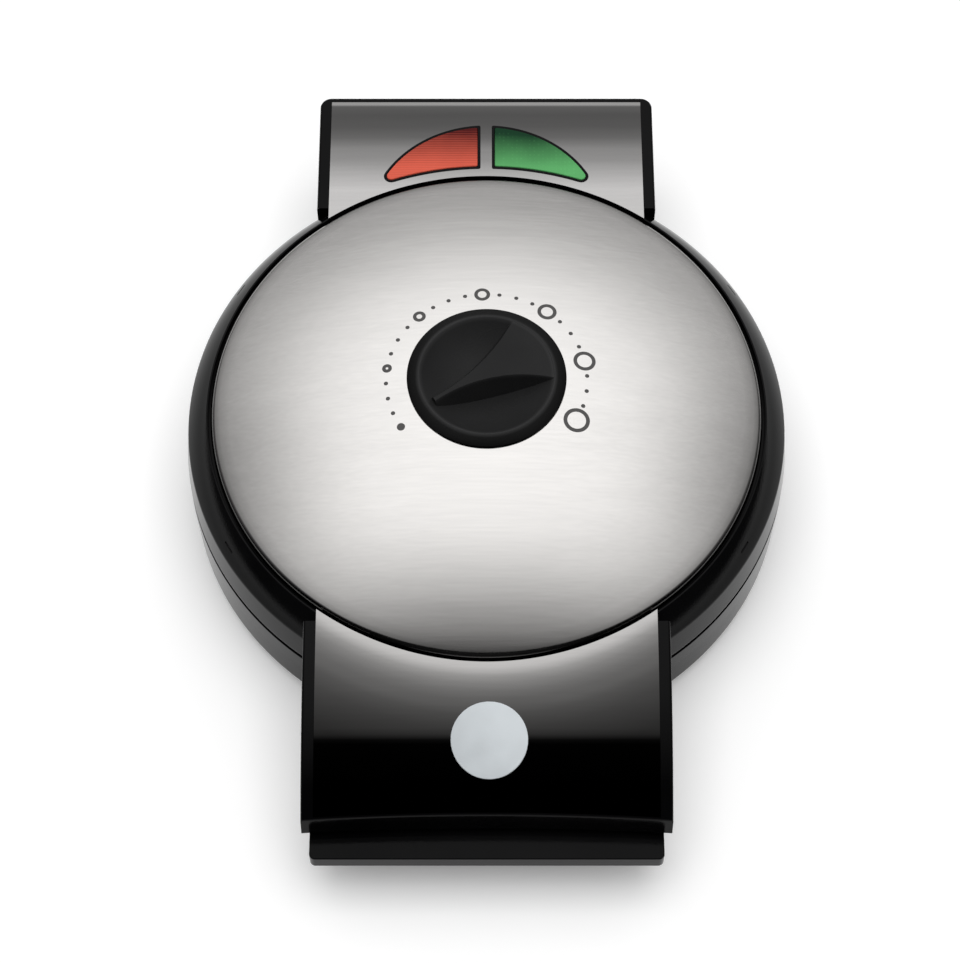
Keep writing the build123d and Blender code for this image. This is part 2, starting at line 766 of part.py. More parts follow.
# Lower reflector: a dished aluminium sheet under the element, held below the frame's ledge
reflector_rim = tub_top
reflector_floor = reflector_rim - sheet - reflector_depth
with BuildPart() as lower_reflector:
    slope_top = reflector_radius - reflector_flange
    slope_foot = slope_top - reflector_draft
    reflector_outline = outline(
        profile_plane,
        (
            (reflector_radius, reflector_rim),
            (reflector_radius, reflector_rim - sheet),
            (slope_top, reflector_rim - sheet),
            (slope_foot, reflector_floor),
            (0, reflector_floor),
            (0, reflector_floor + sheet),
            (slope_foot - sheet / 2, reflector_floor + sheet),
            (slope_top - sheet / 2, reflector_rim),
        ),
    )
    revolve(reflector_outline, axis=body_axis)
    with BuildSketch(level(reflector_floor)):
        with Locations((0, element_radius)):
            RectangleRounded(reflector_window_x, reflector_window_y, wall)
    extrude(amount=2 * sheet, mode=Mode.SUBTRACT)
    with BuildSketch(level(reflector_rim - sheet)):
        with PolarLocations(flange_screw_radius, 4, start_angle=45):
            Circle(screw_radius + seat_gap)
    extrude(amount=sheet, mode=Mode.SUBTRACT)
lower_reflector.part.label = "lower_reflector"
export_step(lower_reflector.part, "parts/lower_reflector.step")

# Lower plate screws: up through the reflector's flange and the frame's ledge into the plate's flange
with BuildPart() as lower_plate_screws:
    with BuildSketch(level(reflector_rim - sheet - screw_head_height)):
        with PolarLocations(flange_screw_radius, 4, start_angle=45):
            Circle(screw_head_radius)
    extrude(amount=screw_head_height)
    with BuildSketch(level(reflector_rim - sheet)):
        with PolarLocations(flange_screw_radius, 4, start_angle=45):
            Circle(screw_radius)
    extrude(amount=sheet + flange_top - reflector_rim - 2 * fit_gap)
lower_plate_screws.part.label = "lower_plate_screws"
export_step(lower_plate_screws.part, "parts/lower_plate_screws.step")

# Base leads: from the terminal block to one element pin, and through the thermal fuse to the other
pin_z = element_z
pin_angle = radians(90 - element_gap_angle / 2)
pin_x = element_radius * cos(pin_angle) - element_pin_length * sin(pin_angle)
pin_y = body_y + element_radius * sin(pin_angle) + element_pin_length * cos(pin_angle)
block_rear = body_y + terminal_place_y + terminal_y / 2
bore_z = terminal_low + terminal_height / 3
fuse_z = plate_bottom + fuse_drop
fuse_rear = body_y + fuse_place_y + fuse_length / 2
fuse_front = body_y + fuse_place_y - fuse_length / 2
rise_y = pin_y + (pin_x - lead_rise_x) / tan(pin_angle)
turn_y = pin_y + (pin_x - lead_turn_x) / tan(pin_angle)
with BuildPart() as base_leads:
    left_bore = terminal_place_x - terminal_pitch
    add(
        lead(
            (left_bore, block_rear - 2, bore_z),
            (left_bore, block_rear + lead_row_a, bore_z),
            (2 * lead_rise_x, block_rear + lead_row_a, bore_z),
            (lead_rise_x, rise_y, pin_z),
            (pin_x, pin_y, pin_z),
        )
    )
    add(
        lead(
            (terminal_place_x, block_rear - 2, bore_z),
            (terminal_place_x, block_rear + lead_row_b, bore_z),
            (0, block_rear + lead_row_b, bore_z),
            (0, block_rear, fuse_z),
            (0, fuse_rear, fuse_z),
        )
    )
    add(
        lead(
            (0, fuse_front, fuse_z),
            (0, fuse_front - lead_rise_x, fuse_z),
            (-lead_turn_x, fuse_front - lead_rise_x, fuse_z),
            (-lead_turn_x, turn_y, pin_z),
            (-pin_x, pin_y, pin_z),
        )
    )
base_leads.part.label = "base_leads"
export_step(base_leads.part, "parts/base_leads.step")

# Upper baking plate
with BuildPart() as upper_plate:
    add(lower_plate.part.mirror(mid_plane))
upper_plate.part.label = "upper_plate"
export_step(upper_plate.part, "parts/upper_plate.step")

# Upper element
with BuildPart() as upper_element:
    add(lower_element.part.mirror(mid_plane))
upper_element.part.label = "upper_element"
export_step(upper_element.part, "parts/upper_element.step")

# Upper element clamps
with BuildPart() as upper_clamps:
    add(lower_clamps.part.mirror(mid_plane))
upper_clamps.part.label = "upper_clamps"
export_step(upper_clamps.part, "parts/upper_clamps.step")

# Upper clamp screws
with BuildPart() as upper_clamp_screws:
    add(lower_clamp_screws.part.mirror(mid_plane))
upper_clamp_screws.part.label = "upper_clamp_screws"
export_step(upper_clamp_screws.part, "parts/upper_clamp_screws.step")

# Upper reflector: also has a round opening for the thermostat
with BuildPart() as upper_reflector:
    add(lower_reflector.part.mirror(mid_plane))
    extrude(disc(2 * parting_z - reflector_rim, reflector_hole_radius), amount=2 * reflector_depth, mode=Mode.SUBTRACT)
upper_reflector.part.label = "upper_reflector"
export_step(upper_reflector.part, "parts/upper_reflector.step")

# Upper plate screws
with BuildPart() as upper_plate_screws:
    add(lower_plate_screws.part.mirror(mid_plane))
upper_plate_screws.part.label = "upper_plate_screws"
export_step(upper_plate_screws.part, "parts/upper_plate_screws.step")


# ---- Lid ----

# Lid housing: the shoulder ring, the rear block with its hinge cheeks and lens windows, and the handle shell
core_low = handle_skirt_z - wall
core_high = 2 * rim_z
ceiling_z = block_top - trim_recess - top_wall
ring_top = 2 * parting_z - tub_top
lid_boss_radius = (ring_wall_radius + casing_inner(ring_top)) / 2
with BuildPart() as lid_housing:
    with BuildSketch(level(lid_bottom)):
        with Locations((0, rear_reach)):
            RectangleRounded(block_width, rear_reach, block_corner, align=(Align.CENTER, Align.MAX))
    extrude(amount=block_top - lid_bottom)
    extrude(handle_side(0, handle_root_y, -handle_front, handle_skirt_z), amount=block_half, both=True)
    add(front_cutter(0), mode=Mode.SUBTRACT)
    add(drum(body_radius + handle_clear, core_low, lid_bottom), mode=Mode.SUBTRACT)
    with BuildSketch(level(lid_bottom)):
        with Locations((0, rear_reach - rear_wall)):
            Rectangle(2 * cheek_inner, rear_reach, align=(Align.CENTER, Align.MAX))
        Circle(body_radius - wall, mode=Mode.SUBTRACT)
        with Locations((0, 0)):
            Rectangle(block_width, handle_front, align=(Align.CENTER, Align.MAX), mode=Mode.SUBTRACT)
    extrude(amount=ceiling_z - lid_bottom, mode=Mode.SUBTRACT)
    under_skin = extrude(
        handle_side(trim_recess + top_wall, handle_root_y, -handle_front, core_low),
        amount=cheek_inner,
        both=True,
        mode=Mode.PRIVATE,
    )
    add(under_skin - front_cutter(wall) - drum(body_radius - wall, core_low, core_high), mode=Mode.SUBTRACT)
    core = outline(
        profile_plane,
        (
            (0, core_low),
            (casing_inner(lid_bottom), core_low),
            (casing_inner(lid_bottom), lid_bottom),
            (casing_inner(shoulder_z - wall), shoulder_z - wall),
            (ledge_radius, ledge_z - wall),
            (ledge_radius, ledge_z),
            (groove_radius, ledge_z),
            (groove_radius, core_high),
            (0, core_high),
        ),
    )
    revolve(core, axis=body_axis, mode=Mode.SUBTRACT)
    with BuildSketch(profile_plane):
        with BuildLine():
            Polyline(
                (rim_radius, rim_z),
                (groove_radius, rim_z),
                (groove_radius, ledge_z),
                (ledge_radius, ledge_z),
                (ledge_radius, ledge_z - wall),
                (casing_inner(shoulder_z - wall), shoulder_z - wall),
                (casing_inner(lid_bottom), lid_bottom),
                (body_radius, lid_bottom),
                (shoulder_radius, shoulder_z),
            )
            RadiusArc((shoulder_radius, shoulder_z), (rim_radius, rim_z), -shoulder_curve)
        make_face()
    revolve(axis=body_axis)
    for side in (-1, 1):
        with BuildSketch(across(side * cheek_inner)):
            Circle(hinge_lobe_radius)
        extrude(amount=side * rail_width)
        with BuildSketch(across(side * cheek_inner)):
            Circle(hinge_pin_radius + running_gap)
        extrude(amount=side * rail_width, mode=Mode.SUBTRACT)
        with BuildSketch(across(side * block_half)):
            Circle(hinge_pin_head_radius + hinge_head_gap)
        extrude(amount=-side * (hinge_pin_head + running_gap), mode=Mode.SUBTRACT)
        add(lens_prism(side, seat_gap, ceiling_z, core_high), mode=Mode.SUBTRACT)
        add(lens_prism(side, lens_flange + seat_gap, shoulder_z - wall, ceiling_z), mode=Mode.SUBTRACT)
    extrude(rear_trim_face(0), amount=trim_recess, mode=Mode.SUBTRACT)
    add(handle_skin(-trim_recess, trim_recess, 0), mode=Mode.SUBTRACT)
    with BuildSketch(level(ring_top)):
        with PolarLocations(lid_boss_radius, 6):
            Circle(casing_screw_radius + top_wall)
    extrude(amount=ledge_z - wall - ring_top)
    with BuildSketch(level(ring_top)):
        with PolarLocations(lid_boss_radius, 6):
            Circle(screw_radius + seat_gap)
    extrude(amount=screw_bite, mode=Mode.SUBTRACT)
    handle_boss_top = handle_z(handle_boss_y - handle_boss_radius, trim_recess + top_wall / 2)
    cover_top = handle_skirt_z + handle_cover_inset + cover_thickness
    with BuildSketch(level(cover_top)):
        with Locations((-handle_boss_x, handle_boss_y), (handle_boss_x, handle_boss_y)):
            Circle(handle_boss_radius)
    extrude(amount=handle_boss_top - cover_top)
    with BuildSketch(level(cover_top)):
        with Locations((-handle_boss_x, handle_boss_y), (handle_boss_x, handle_boss_y)):
            Circle(screw_radius + seat_gap)
    extrude(amount=screw_bite, mode=Mode.SUBTRACT)
    lamp_low = ceiling_z - lens_flange_thickness - lamp_box_depth
    lamp_ear_low = lamp_low + lamp_ear_lift
    lamp_ear_top = lamp_ear_low + lamp_ear_thickness
    lamp_y = body_radius + fit_gap + lamp_box_y / 2
    with BuildSketch(level(lamp_ear_top)):
        with Locations((-lamp_screw_x, lamp_y), (lamp_screw_x, lamp_y)):
            Circle(lamp_boss_radius)
    extrude(amount=ceiling_z - lamp_ear_top)
    with BuildSketch(level(lamp_ear_top)):
        with Locations((-lamp_screw_x, lamp_y), (lamp_screw_x, lamp_y)):
            Circle(screw_radius + seat_gap)
    extrude(amount=lamp_screw_bite, mode=Mode.SUBTRACT)
    with BuildSketch(level(lead_port_z - lead_port_height / 2)):
        with Locations((0, body_radius)):
            RectangleRounded(3 * lead_port_x, lead_port_length, wall)
    extrude(amount=lead_port_height, mode=Mode.SUBTRACT)
    for angle in (slot_angle, 180 - slot_angle, 180 + slot_angle, -slot_angle):
        with BuildSketch(level(slot_z - slot_depth)):
            with PolarLocations(slot_radius, 1, start_angle=angle):
                Rectangle(slot_width, slot_length)
        extrude(amount=shoulder_height, mode=Mode.SUBTRACT)
lid_housing.part.label = "lid_housing"
export_step(lid_housing.part, "parts/lid_housing.step")

# Lid ring: the inner frame that carries the upper plate and closes the lid around it
with BuildPart() as lid_ring:
    ring = outline(
        profile_plane,
        (
            (casing_inner(lid_bottom) - fit_gap, lid_bottom),
            (casing_inner(ring_top) - fit_gap, ring_top),
            (ledge_inner, ring_top),
            (ledge_inner, 2 * parting_z - flange_bottom),
            (ring_wall_radius, 2 * parting_z - flange_bottom),
            (ring_wall_radius, lid_bottom),
        ),
    )
    revolve(ring, axis=body_axis)
    with BuildSketch(level(lid_bottom)):
        with PolarLocations(lid_boss_radius, 6):
            Circle(screw_radius + seat_gap)
    extrude(amount=ring_top - lid_bottom, mode=Mode.SUBTRACT)
    with BuildSketch(level(lid_bottom)):
        with PolarLocations(lid_boss_radius, 6):
            Circle(screw_head_radius + fit_gap)
    extrude(amount=screw_head_height + fit_gap, mode=Mode.SUBTRACT)
    with BuildSketch(level(2 * parting_z - flange_bottom)):
        with PolarLocations(flange_screw_radius, 4, start_angle=45):
            Circle(screw_radius + seat_gap)
    extrude(amount=ledge_thickness, mode=Mode.SUBTRACT)
lid_ring.part.label = "lid_ring"
export_step(lid_ring.part, "parts/lid_ring.step")

# Lid ring screws
with BuildPart() as lid_ring_screws:
    with BuildSketch(level(lid_bottom + fit_gap)):
        with PolarLocations(lid_boss_radius, 6):
            Circle(screw_head_radius)
    extrude(amount=screw_head_height)
    with BuildSketch(level(lid_bottom + fit_gap + screw_head_height)):
        with PolarLocations(lid_boss_radius, 6):
            Circle(screw_radius)
    extrude(amount=ring_top - lid_bottom - 2 * fit_gap - screw_head_height + screw_bite)
lid_ring_screws.part.label = "lid_ring_screws"
export_step(lid_ring_screws.part, "parts/lid_ring_screws.step")

# Dome cover: pressed stainless sheet with a rolled edge and a round opening for the dial
with BuildPart() as dome_cover:
    for inset in (0, sheet):
        hole = dome_hole_radius - inset
        edge = dome_edge_radius - inset
        foot = ledge_z - inset
        middle = (hole + edge) / 2
        with BuildSketch(profile_plane) as section:
            with BuildLine():
                ThreePointArc((hole, dome_z(hole) - inset), (middle, dome_z(middle) - inset), (edge, dome_z(edge) - inset))
                Polyline((edge, dome_z(edge) - inset), (edge, foot), (hole, foot), (hole, dome_z(hole) - inset))
            make_face()
            fillet(section.vertices().group_by(Axis.X)[-1].sort_by(Axis.Y)[-1], dome_roll - inset)
        revolve(axis=body_axis, mode=Mode.SUBTRACT if inset else Mode.ADD)
dome_cover.part.label = "dome_cover"
export_step(dome_cover.part, "parts/dome_cover.step")

# Rear trim plate: brushed steel sheet let into the top of the rear block
with BuildPart() as rear_trim_plate:
    extrude(rear_trim_face(seat_gap), amount=trim_sheet)
rear_trim_plate.part.label = "rear_trim_plate"
export_step(rear_trim_plate.part, "parts/rear_trim_plate.step")

# Front trim plate: glossy dark sheet curved over the upper handle
with BuildPart() as front_trim_plate:
    add(handle_skin(trim_recess - trim_sheet, trim_recess, seat_gap))
front_trim_plate.part.label = "front_trim_plate"
export_step(front_trim_plate.part, "parts/front_trim_plate.step")

# Badge disc: a plain round inlay that follows the front trim plate
with BuildPart() as badge_disc:
    badge_depth = trim_recess - trim_sheet
    add(handle_skin(badge_depth - badge_thickness, badge_depth, seat_gap))
    badge_slope = (handle_root_y - badge_y) / handle_curve
    badge_normal = (0, -badge_slope, sqrt(1 - badge_slope**2))
    with BuildSketch(Plane(origin=(badge_x, body_y + badge_y, handle_z(badge_y)), z_dir=badge_normal)):
        Circle(badge_radius)
    extrude(amount=wall, both=True, mode=Mode.INTERSECT)
badge_disc.part.label = "badge_disc"
export_step(badge_disc.part, "parts/badge_disc.step")

# Lenses: red over the mains lamp on the left, green over the ready lamp on the right
lens_top = block_top + lens_proud
with BuildPart() as red_lens:
    add(lens_prism(-1, 0, ceiling_z, lens_top))
    add(lens_prism(-1, lens_flange, ceiling_z - lens_flange_thickness, ceiling_z))
red_lens.part.label = "red_lens"
export_step(red_lens.part, "parts/red_lens.step")

with BuildPart() as green_lens:
    add(lens_prism(1, 0, ceiling_z, lens_top))
    add(lens_prism(1, lens_flange, ceiling_z - lens_flange_thickness, ceiling_z))
green_lens.part.label = "green_lens"
export_step(green_lens.part, "parts/green_lens.step")

# Lamp holder: a two-chamber tray under the lenses, screwed up to the housing by two ears
with BuildPart() as lamp_holder:
    with BuildSketch(level(lamp_low)):
        with Locations((0, lamp_y)):
            Rectangle(lamp_box_x, lamp_box_y)
    extrude(amount=lamp_box_depth)
    with BuildSketch(level(lamp_ear_low)):
        with Locations((0, lamp_y)):
            SlotOverall(lamp_box_x + 2 * lamp_ear, lamp_ear)
    extrude(amount=lamp_ear_thickness)
    with BuildSketch(level(lamp_ear_low)):
        with Locations((-lamp_screw_x, lamp_y), (lamp_screw_x, lamp_y)):
            Circle(screw_radius + seat_gap)
    extrude(amount=lamp_ear_thickness, mode=Mode.SUBTRACT)
    with BuildSketch(level(lamp_low + lamp_wall)):
        with Locations((0, lamp_y)):
            with GridLocations((lamp_box_x - lamp_wall) / 2, 1, 2, 1):
                Rectangle((lamp_box_x - 3 * lamp_wall) / 2, lamp_box_y - 2 * lamp_wall)
    extrude(amount=lamp_box_depth, mode=Mode.SUBTRACT)
lamp_holder.part.label = "lamp_holder"
export_step(lamp_holder.part, "parts/lamp_holder.step")

# Lamp holder screws
with BuildPart() as lamp_screws:
    with BuildSketch(level(lamp_ear_low - screw_head_height)):
        with Locations((-lamp_screw_x, lamp_y), (lamp_screw_x, lamp_y)):
            Circle(screw_head_radius)
    extrude(amount=screw_head_height)
    with BuildSketch(level(lamp_ear_low)):
        with Locations((-lamp_screw_x, lamp_y), (lamp_screw_x, lamp_y)):
            Circle(screw_radius)
    extrude(amount=lamp_ear_thickness + lamp_screw_bite - fit_gap)
lamp_screws.part.label = "lamp_screws"
export_step(lamp_screws.part, "parts/lamp_screws.step")

# Neon lamps: glass bulbs that lie on the floor of each chamber
lamp_z = lamp_low + lamp_wall + lamp_radius
with BuildPart() as power_lamp:
    with BuildSketch(Plane(origin=(-lamp_place_x, body_y + lamp_y, lamp_z), z_dir=(1, 0, 0))):
        Circle(lamp_radius)
    extrude(amount=lamp_length / 2, both=True)
    chamfer(power_lamp.edges().sort_by(Axis.X)[-1], lamp_radius / 2)
power_lamp.part.label = "power_lamp"
export_step(power_lamp.part, "parts/power_lamp.step")

with BuildPart() as ready_lamp:
    add(power_lamp.part.mirror(Plane.YZ))
ready_lamp.part.label = "ready_lamp"
export_step(ready_lamp.part, "parts/ready_lamp.step")

# Upper handle cover: closes the upper handle from below
cover_low = handle_skirt_z + handle_cover_inset
with BuildPart() as upper_handle_cover:
    with BuildSketch(level(cover_low)):
        with Locations((0, -ring_wall_radius)):
            Rectangle(2 * (cheek_inner - fit_gap), handle_front, align=(Align.CENTER, Align.MAX))
        Circle(body_radius + handle_clear, mode=Mode.SUBTRACT)
        with Locations((-handle_boss_x, handle_boss_y), (handle_boss_x, handle_boss_y)):
            Circle(screw_radius + seat_gap, mode=Mode.SUBTRACT)
    extrude(amount=cover_thickness)
    add(front_cutter(wall + fit_gap), mode=Mode.SUBTRACT)
upper_handle_cover.part.label = "upper_handle_cover"
export_step(upper_handle_cover.part, "parts/upper_handle_cover.step")

# Upper handle screws
with BuildPart() as upper_handle_screws:
    with BuildSketch(level(cover_low - screw_head_height)):
        with Locations((-handle_boss_x, handle_boss_y), (handle_boss_x, handle_boss_y)):
            Circle(screw_head_radius)
    extrude(amount=screw_head_height)
    with BuildSketch(level(cover_low)):
        with Locations((-handle_boss_x, handle_boss_y), (handle_boss_x, handle_boss_y)):
            Circle(screw_radius)
    extrude(amount=cover_thickness + screw_bite - fit_gap)
upper_handle_screws.part.label = "upper_handle_screws"
export_step(upper_handle_screws.part, "parts/upper_handle_screws.step")

# Thermostat bracket: a strap that presses the thermostat to the upper plate's back
plate_back = 2 * parting_z - plate_bottom
with BuildPart() as thermostat_bracket:
    with BuildSketch(level(plate_back)):
        SlotOverall(bracket_length, bracket_width)
    extrude(amount=clamp_sheet)
thermostat_bracket.part.label = "thermostat_bracket"
export_step(thermostat_bracket.part, "parts/thermostat_bracket.step")

# Thermostat body: moulded block with a threaded bush for the dial's shaft, and two blade terminals
thermostat_low = plate_back + clamp_sheet
thermostat_top = thermostat_low + thermostat_height
shaft_low = thermostat_top - wall
with BuildPart() as thermostat_body:
    with BuildSketch(level(thermostat_low)):
        RectangleRounded(thermostat_x, thermostat_y, wall)
    extrude(amount=thermostat_height)
    with BuildSketch(level(thermostat_low + thermostat_height / 2)):
        Rectangle(thermostat_x + 4 * bush_radius, bush_radius)
    extrude(amount=sheet)
    extrude(disc(thermostat_top, bush_radius), amount=bush_height)
    extrude(disc(shaft_low, shaft_radius + running_gap), amount=bush_height + wall, mode=Mode.SUBTRACT)
thermostat_body.part.label = "thermostat_body"
export_step(thermostat_body.part, "parts/thermostat_body.step")

# Lid leads: from the port in the rear wall to the element and the thermostat, and between those two
upper_pin_z = 2 * parting_z - pin_z
blade_top = thermostat_low + thermostat_height / 2 + sheet
port_y = body_y + body_radius
inside_y = body_y + ledge_inner
with BuildPart() as lid_leads:
    add(
        lead(
            (-lead_port_x, port_y, lead_port_z),
            (-lead_port_x, inside_y, lead_port_z),
            (-lead_port_x, inside_y - lead_turn_x, lead_over_z),
            (-lead_turn_x, turn_y + lead_rise_x, lead_over_z),
            (-lead_turn_x, turn_y, upper_pin_z),
            (-pin_x, pin_y, upper_pin_z),
        )
    )
    add(
        lead(
            (lead_port_x, port_y, lead_port_z),
            (lead_port_x, inside_y, lead_port_z),
            (lead_port_x, inside_y - lead_turn_x, lead_over_z),
            (blade_x, body_y + lead_turn_x, lead_over_z),
            (blade_x, body_y, lead_over_z),
            (blade_x, body_y, blade_top),
        )
    )
    add(
        lead(
            (-blade_x, body_y, blade_top),
            (-blade_x, body_y, lead_over_z),
            (-blade_x, body_y + lead_turn_x, lead_over_z),
            (lead_turn_x, turn_y + lead_rise_x, lead_over_z),
            (lead_turn_x, turn_y, upper_pin_z),
            (pin_x, pin_y, upper_pin_z),
        )
    )
lid_leads.part.label = "lid_leads"
export_step(lid_leads.part, "parts/lid_leads.step")


# ---- Dial ----

knob_base_z = dome_z(dome_hole_radius) + knob_lift
knob_top_z = knob_base_z + knob_edge + knob_chamfer_rise
knob_low = knob_top_z - knob_depth
dish_low = knob_top_z - knob_dish_depth
dish_sphere = (knob_face_radius**2 + knob_dish_depth**2) / (2 * knob_dish_depth)
dish_middle = dish_low + dish_sphere - sqrt(dish_sphere**2 - (knob_face_radius / 2) ** 2)
bore_top = dish_low - 1.5
shaft_top = bore_top - fit_gap

# Pointer bar: the finger grip left standing across the dished knob, narrow at its pointing end
pointer_dir = (-cos(radians(pointer_angle)), -sin(radians(pointer_angle)), 0)
with BuildPart() as pointer_bar:
    for drop in (0, knob_dish_depth):
        spread = drop * tan(radians(pointer_draft))
        far = [(u, v + spread) for u, v in pointer_far]
        near = [(u, v - spread) for u, v in pointer_near]
        with BuildSketch(Plane(origin=(0, body_y, knob_top_z - drop), x_dir=pointer_dir, z_dir=(0, 0, 1))):
            with BuildLine():
                ThreePointArc(*far)
                Polyline(far[-1], near[0])
                ThreePointArc(*near)
                Polyline(near[-1], far[0])
            make_face()
    loft()
    extrude(disc(dish_low, knob_face_radius), amount=knob_dish_depth, mode=Mode.INTERSECT)

# Thermostat knob: dished black dial whose flange hides the dome's opening
with BuildPart() as thermostat_knob:
    with BuildSketch(profile_plane):
        with BuildLine():
            Polyline(
                (0, dish_low),
                (0, knob_low),
                (knob_body_radius, knob_low),
                (knob_body_radius, knob_base_z),
                (knob_flange_radius, knob_base_z),
                (knob_flange_radius, knob_base_z + knob_edge),
                (knob_face_radius, knob_top_z),
            )
            ThreePointArc((knob_face_radius, knob_top_z), (knob_face_radius / 2, dish_middle), (0, dish_low))
        make_face()
    revolve(axis=body_axis)
    add(pointer_bar.part)
    extrude(disc(knob_low - knob_hub_length, knob_hub_radius), amount=knob_hub_length)
    with BuildSketch(level(knob_low - knob_hub_length)):
        Circle(shaft_radius + running_gap)
        with Locations((shaft_radius - shaft_flat + running_gap, 0)):
            Rectangle(shaft_radius, 2 * shaft_radius, align=(Align.MIN, Align.CENTER), mode=Mode.SUBTRACT)
    extrude(amount=bore_top - knob_low + knob_hub_length, mode=Mode.SUBTRACT)
thermostat_knob.part.label = "thermostat_knob"
export_step(thermostat_knob.part, "parts/thermostat_knob.step")

# Thermostat shaft: turned steel, with a flat where the knob grips it
with BuildPart() as thermostat_shaft:
    extrude(disc(shaft_low + fit_gap, shaft_radius), amount=shaft_top - shaft_low - fit_gap)
    with BuildSketch(level(knob_low - knob_hub_length - wall)):
        with Locations((shaft_radius - shaft_flat, 0)):
            Rectangle(shaft_radius, 2 * shaft_radius, align=(Align.MIN, Align.CENTER))
    extrude(amount=knob_hub_length + knob_depth, mode=Mode.SUBTRACT)
thermostat_shaft.part.label = "thermostat_shaft"
export_step(thermostat_shaft.part, "parts/thermostat_shaft.step")

# Knob clip: a sprung steel ring that tightens the knob's hub on the shaft
with BuildPart() as knob_clip:
    with BuildSketch(level(knob_low - knob_hub_length + clip_sheet)):
        Circle(knob_hub_radius + clip_sheet + running_gap)
        Circle(knob_hub_radius + running_gap, mode=Mode.SUBTRACT)
        with Locations((knob_hub_radius, 0)):
            Rectangle(knob_hub_radius, knob_hub_radius, mode=Mode.SUBTRACT)
    extrude(amount=clip_height)
knob_clip.part.label = "knob_clip"
export_step(knob_clip.part, "parts/knob_clip.step")
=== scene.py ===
import json
import math

import bmesh
import bpy
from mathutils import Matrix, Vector


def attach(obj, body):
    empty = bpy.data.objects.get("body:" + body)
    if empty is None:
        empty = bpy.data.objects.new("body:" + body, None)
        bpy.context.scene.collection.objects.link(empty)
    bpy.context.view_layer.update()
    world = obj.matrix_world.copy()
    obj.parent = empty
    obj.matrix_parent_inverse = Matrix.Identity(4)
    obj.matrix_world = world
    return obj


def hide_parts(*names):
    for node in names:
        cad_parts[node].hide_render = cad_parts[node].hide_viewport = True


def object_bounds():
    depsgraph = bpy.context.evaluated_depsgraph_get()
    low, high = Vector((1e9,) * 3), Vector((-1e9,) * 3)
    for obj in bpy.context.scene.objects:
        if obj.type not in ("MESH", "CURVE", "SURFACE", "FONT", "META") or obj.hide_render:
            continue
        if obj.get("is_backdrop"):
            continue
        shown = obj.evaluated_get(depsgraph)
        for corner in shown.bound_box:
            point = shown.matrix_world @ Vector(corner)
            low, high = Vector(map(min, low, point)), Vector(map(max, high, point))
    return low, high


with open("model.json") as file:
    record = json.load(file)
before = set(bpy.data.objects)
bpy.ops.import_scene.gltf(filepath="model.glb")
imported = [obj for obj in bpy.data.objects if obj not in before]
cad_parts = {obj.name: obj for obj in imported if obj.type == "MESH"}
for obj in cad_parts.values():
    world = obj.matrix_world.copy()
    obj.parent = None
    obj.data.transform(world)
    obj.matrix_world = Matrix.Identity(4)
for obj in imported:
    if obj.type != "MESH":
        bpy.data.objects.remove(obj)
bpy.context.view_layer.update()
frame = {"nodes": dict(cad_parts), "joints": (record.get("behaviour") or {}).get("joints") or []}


# ---- Camera ----
# It stands in front of the iron and looks down at it at about 62 degrees. The long lens keeps the rear block
# nearly as wide as the front handle.
mm = 0.001
camera_place = Vector((-2.73, -568.4, 1077.5)) * mm
camera_target = Vector((-2.73, -21.2, 66.0)) * mm
camera = bpy.data.objects.new("camera", bpy.data.cameras.new("camera"))
bpy.context.collection.objects.link(camera)
camera.location = camera_place
camera.rotation_euler = (camera_target - camera_place).to_track_quat("-Z", "Y").to_euler()
camera.data.sensor_width = 36
camera.data.lens = 103.85
bpy.context.scene.camera = camera
bpy.context.scene.view_settings.view_transform = "Standard"


# ---- Floor, room and lamp ----
# A white table under a broad diffuser that is brightest above and behind the iron, fades softly to the
# sides, and stops short in front, so that the metal darkens there. A lamp without gloss evens out the light.
def fill(owner, inputs, made="Principled BSDF"):
    """Gives a node, or the node of that name, its input values or links."""
    tree = getattr(owner, "node_tree", owner)
    made = tree.nodes[made] if isinstance(made, str) else made
    for name, value in inputs.items():
        if isinstance(value, bpy.types.NodeSocket):
            tree.links.new(value, made.inputs[name])
        else:
            made.inputs[name].default_value = value


def node(owner, kind, inputs=None, **settings):
    """Adds a node to a material, the room or a tree, with its settings and its input values or links."""
    made = getattr(owner, "node_tree", owner).nodes.new(kind)
    for name, value in settings.items():
        setattr(made, name, value)
    fill(owner, inputs or {}, made)
    return made


def sum_of(owner, first, second, operation="ADD"):
    """The result of a sum on two numbers or sockets."""
    return node(owner, "ShaderNodeMath", {0: first, 1: second}, operation=operation).outputs[0]


def ramp(owner, value, stops):
    """Brightness or colour along a value, through (place, brightness or colour) stops."""
    made = node(owner, "ShaderNodeValToRGB", {"Fac": value})
    band = made.color_ramp
    while len(band.elements) < len(stops):
        band.elements.new(0.5)
    for element, (place, colour) in zip(band.elements, stops):
        element.position = place
        element.color = (*colour, 1) if isinstance(colour, tuple) else (colour, colour, colour, 1)
    return made.outputs["Color"]


def finish_named(name):
    """A new material."""
    finish = bpy.data.materials.new(name)
    finish.use_nodes = True
    return finish


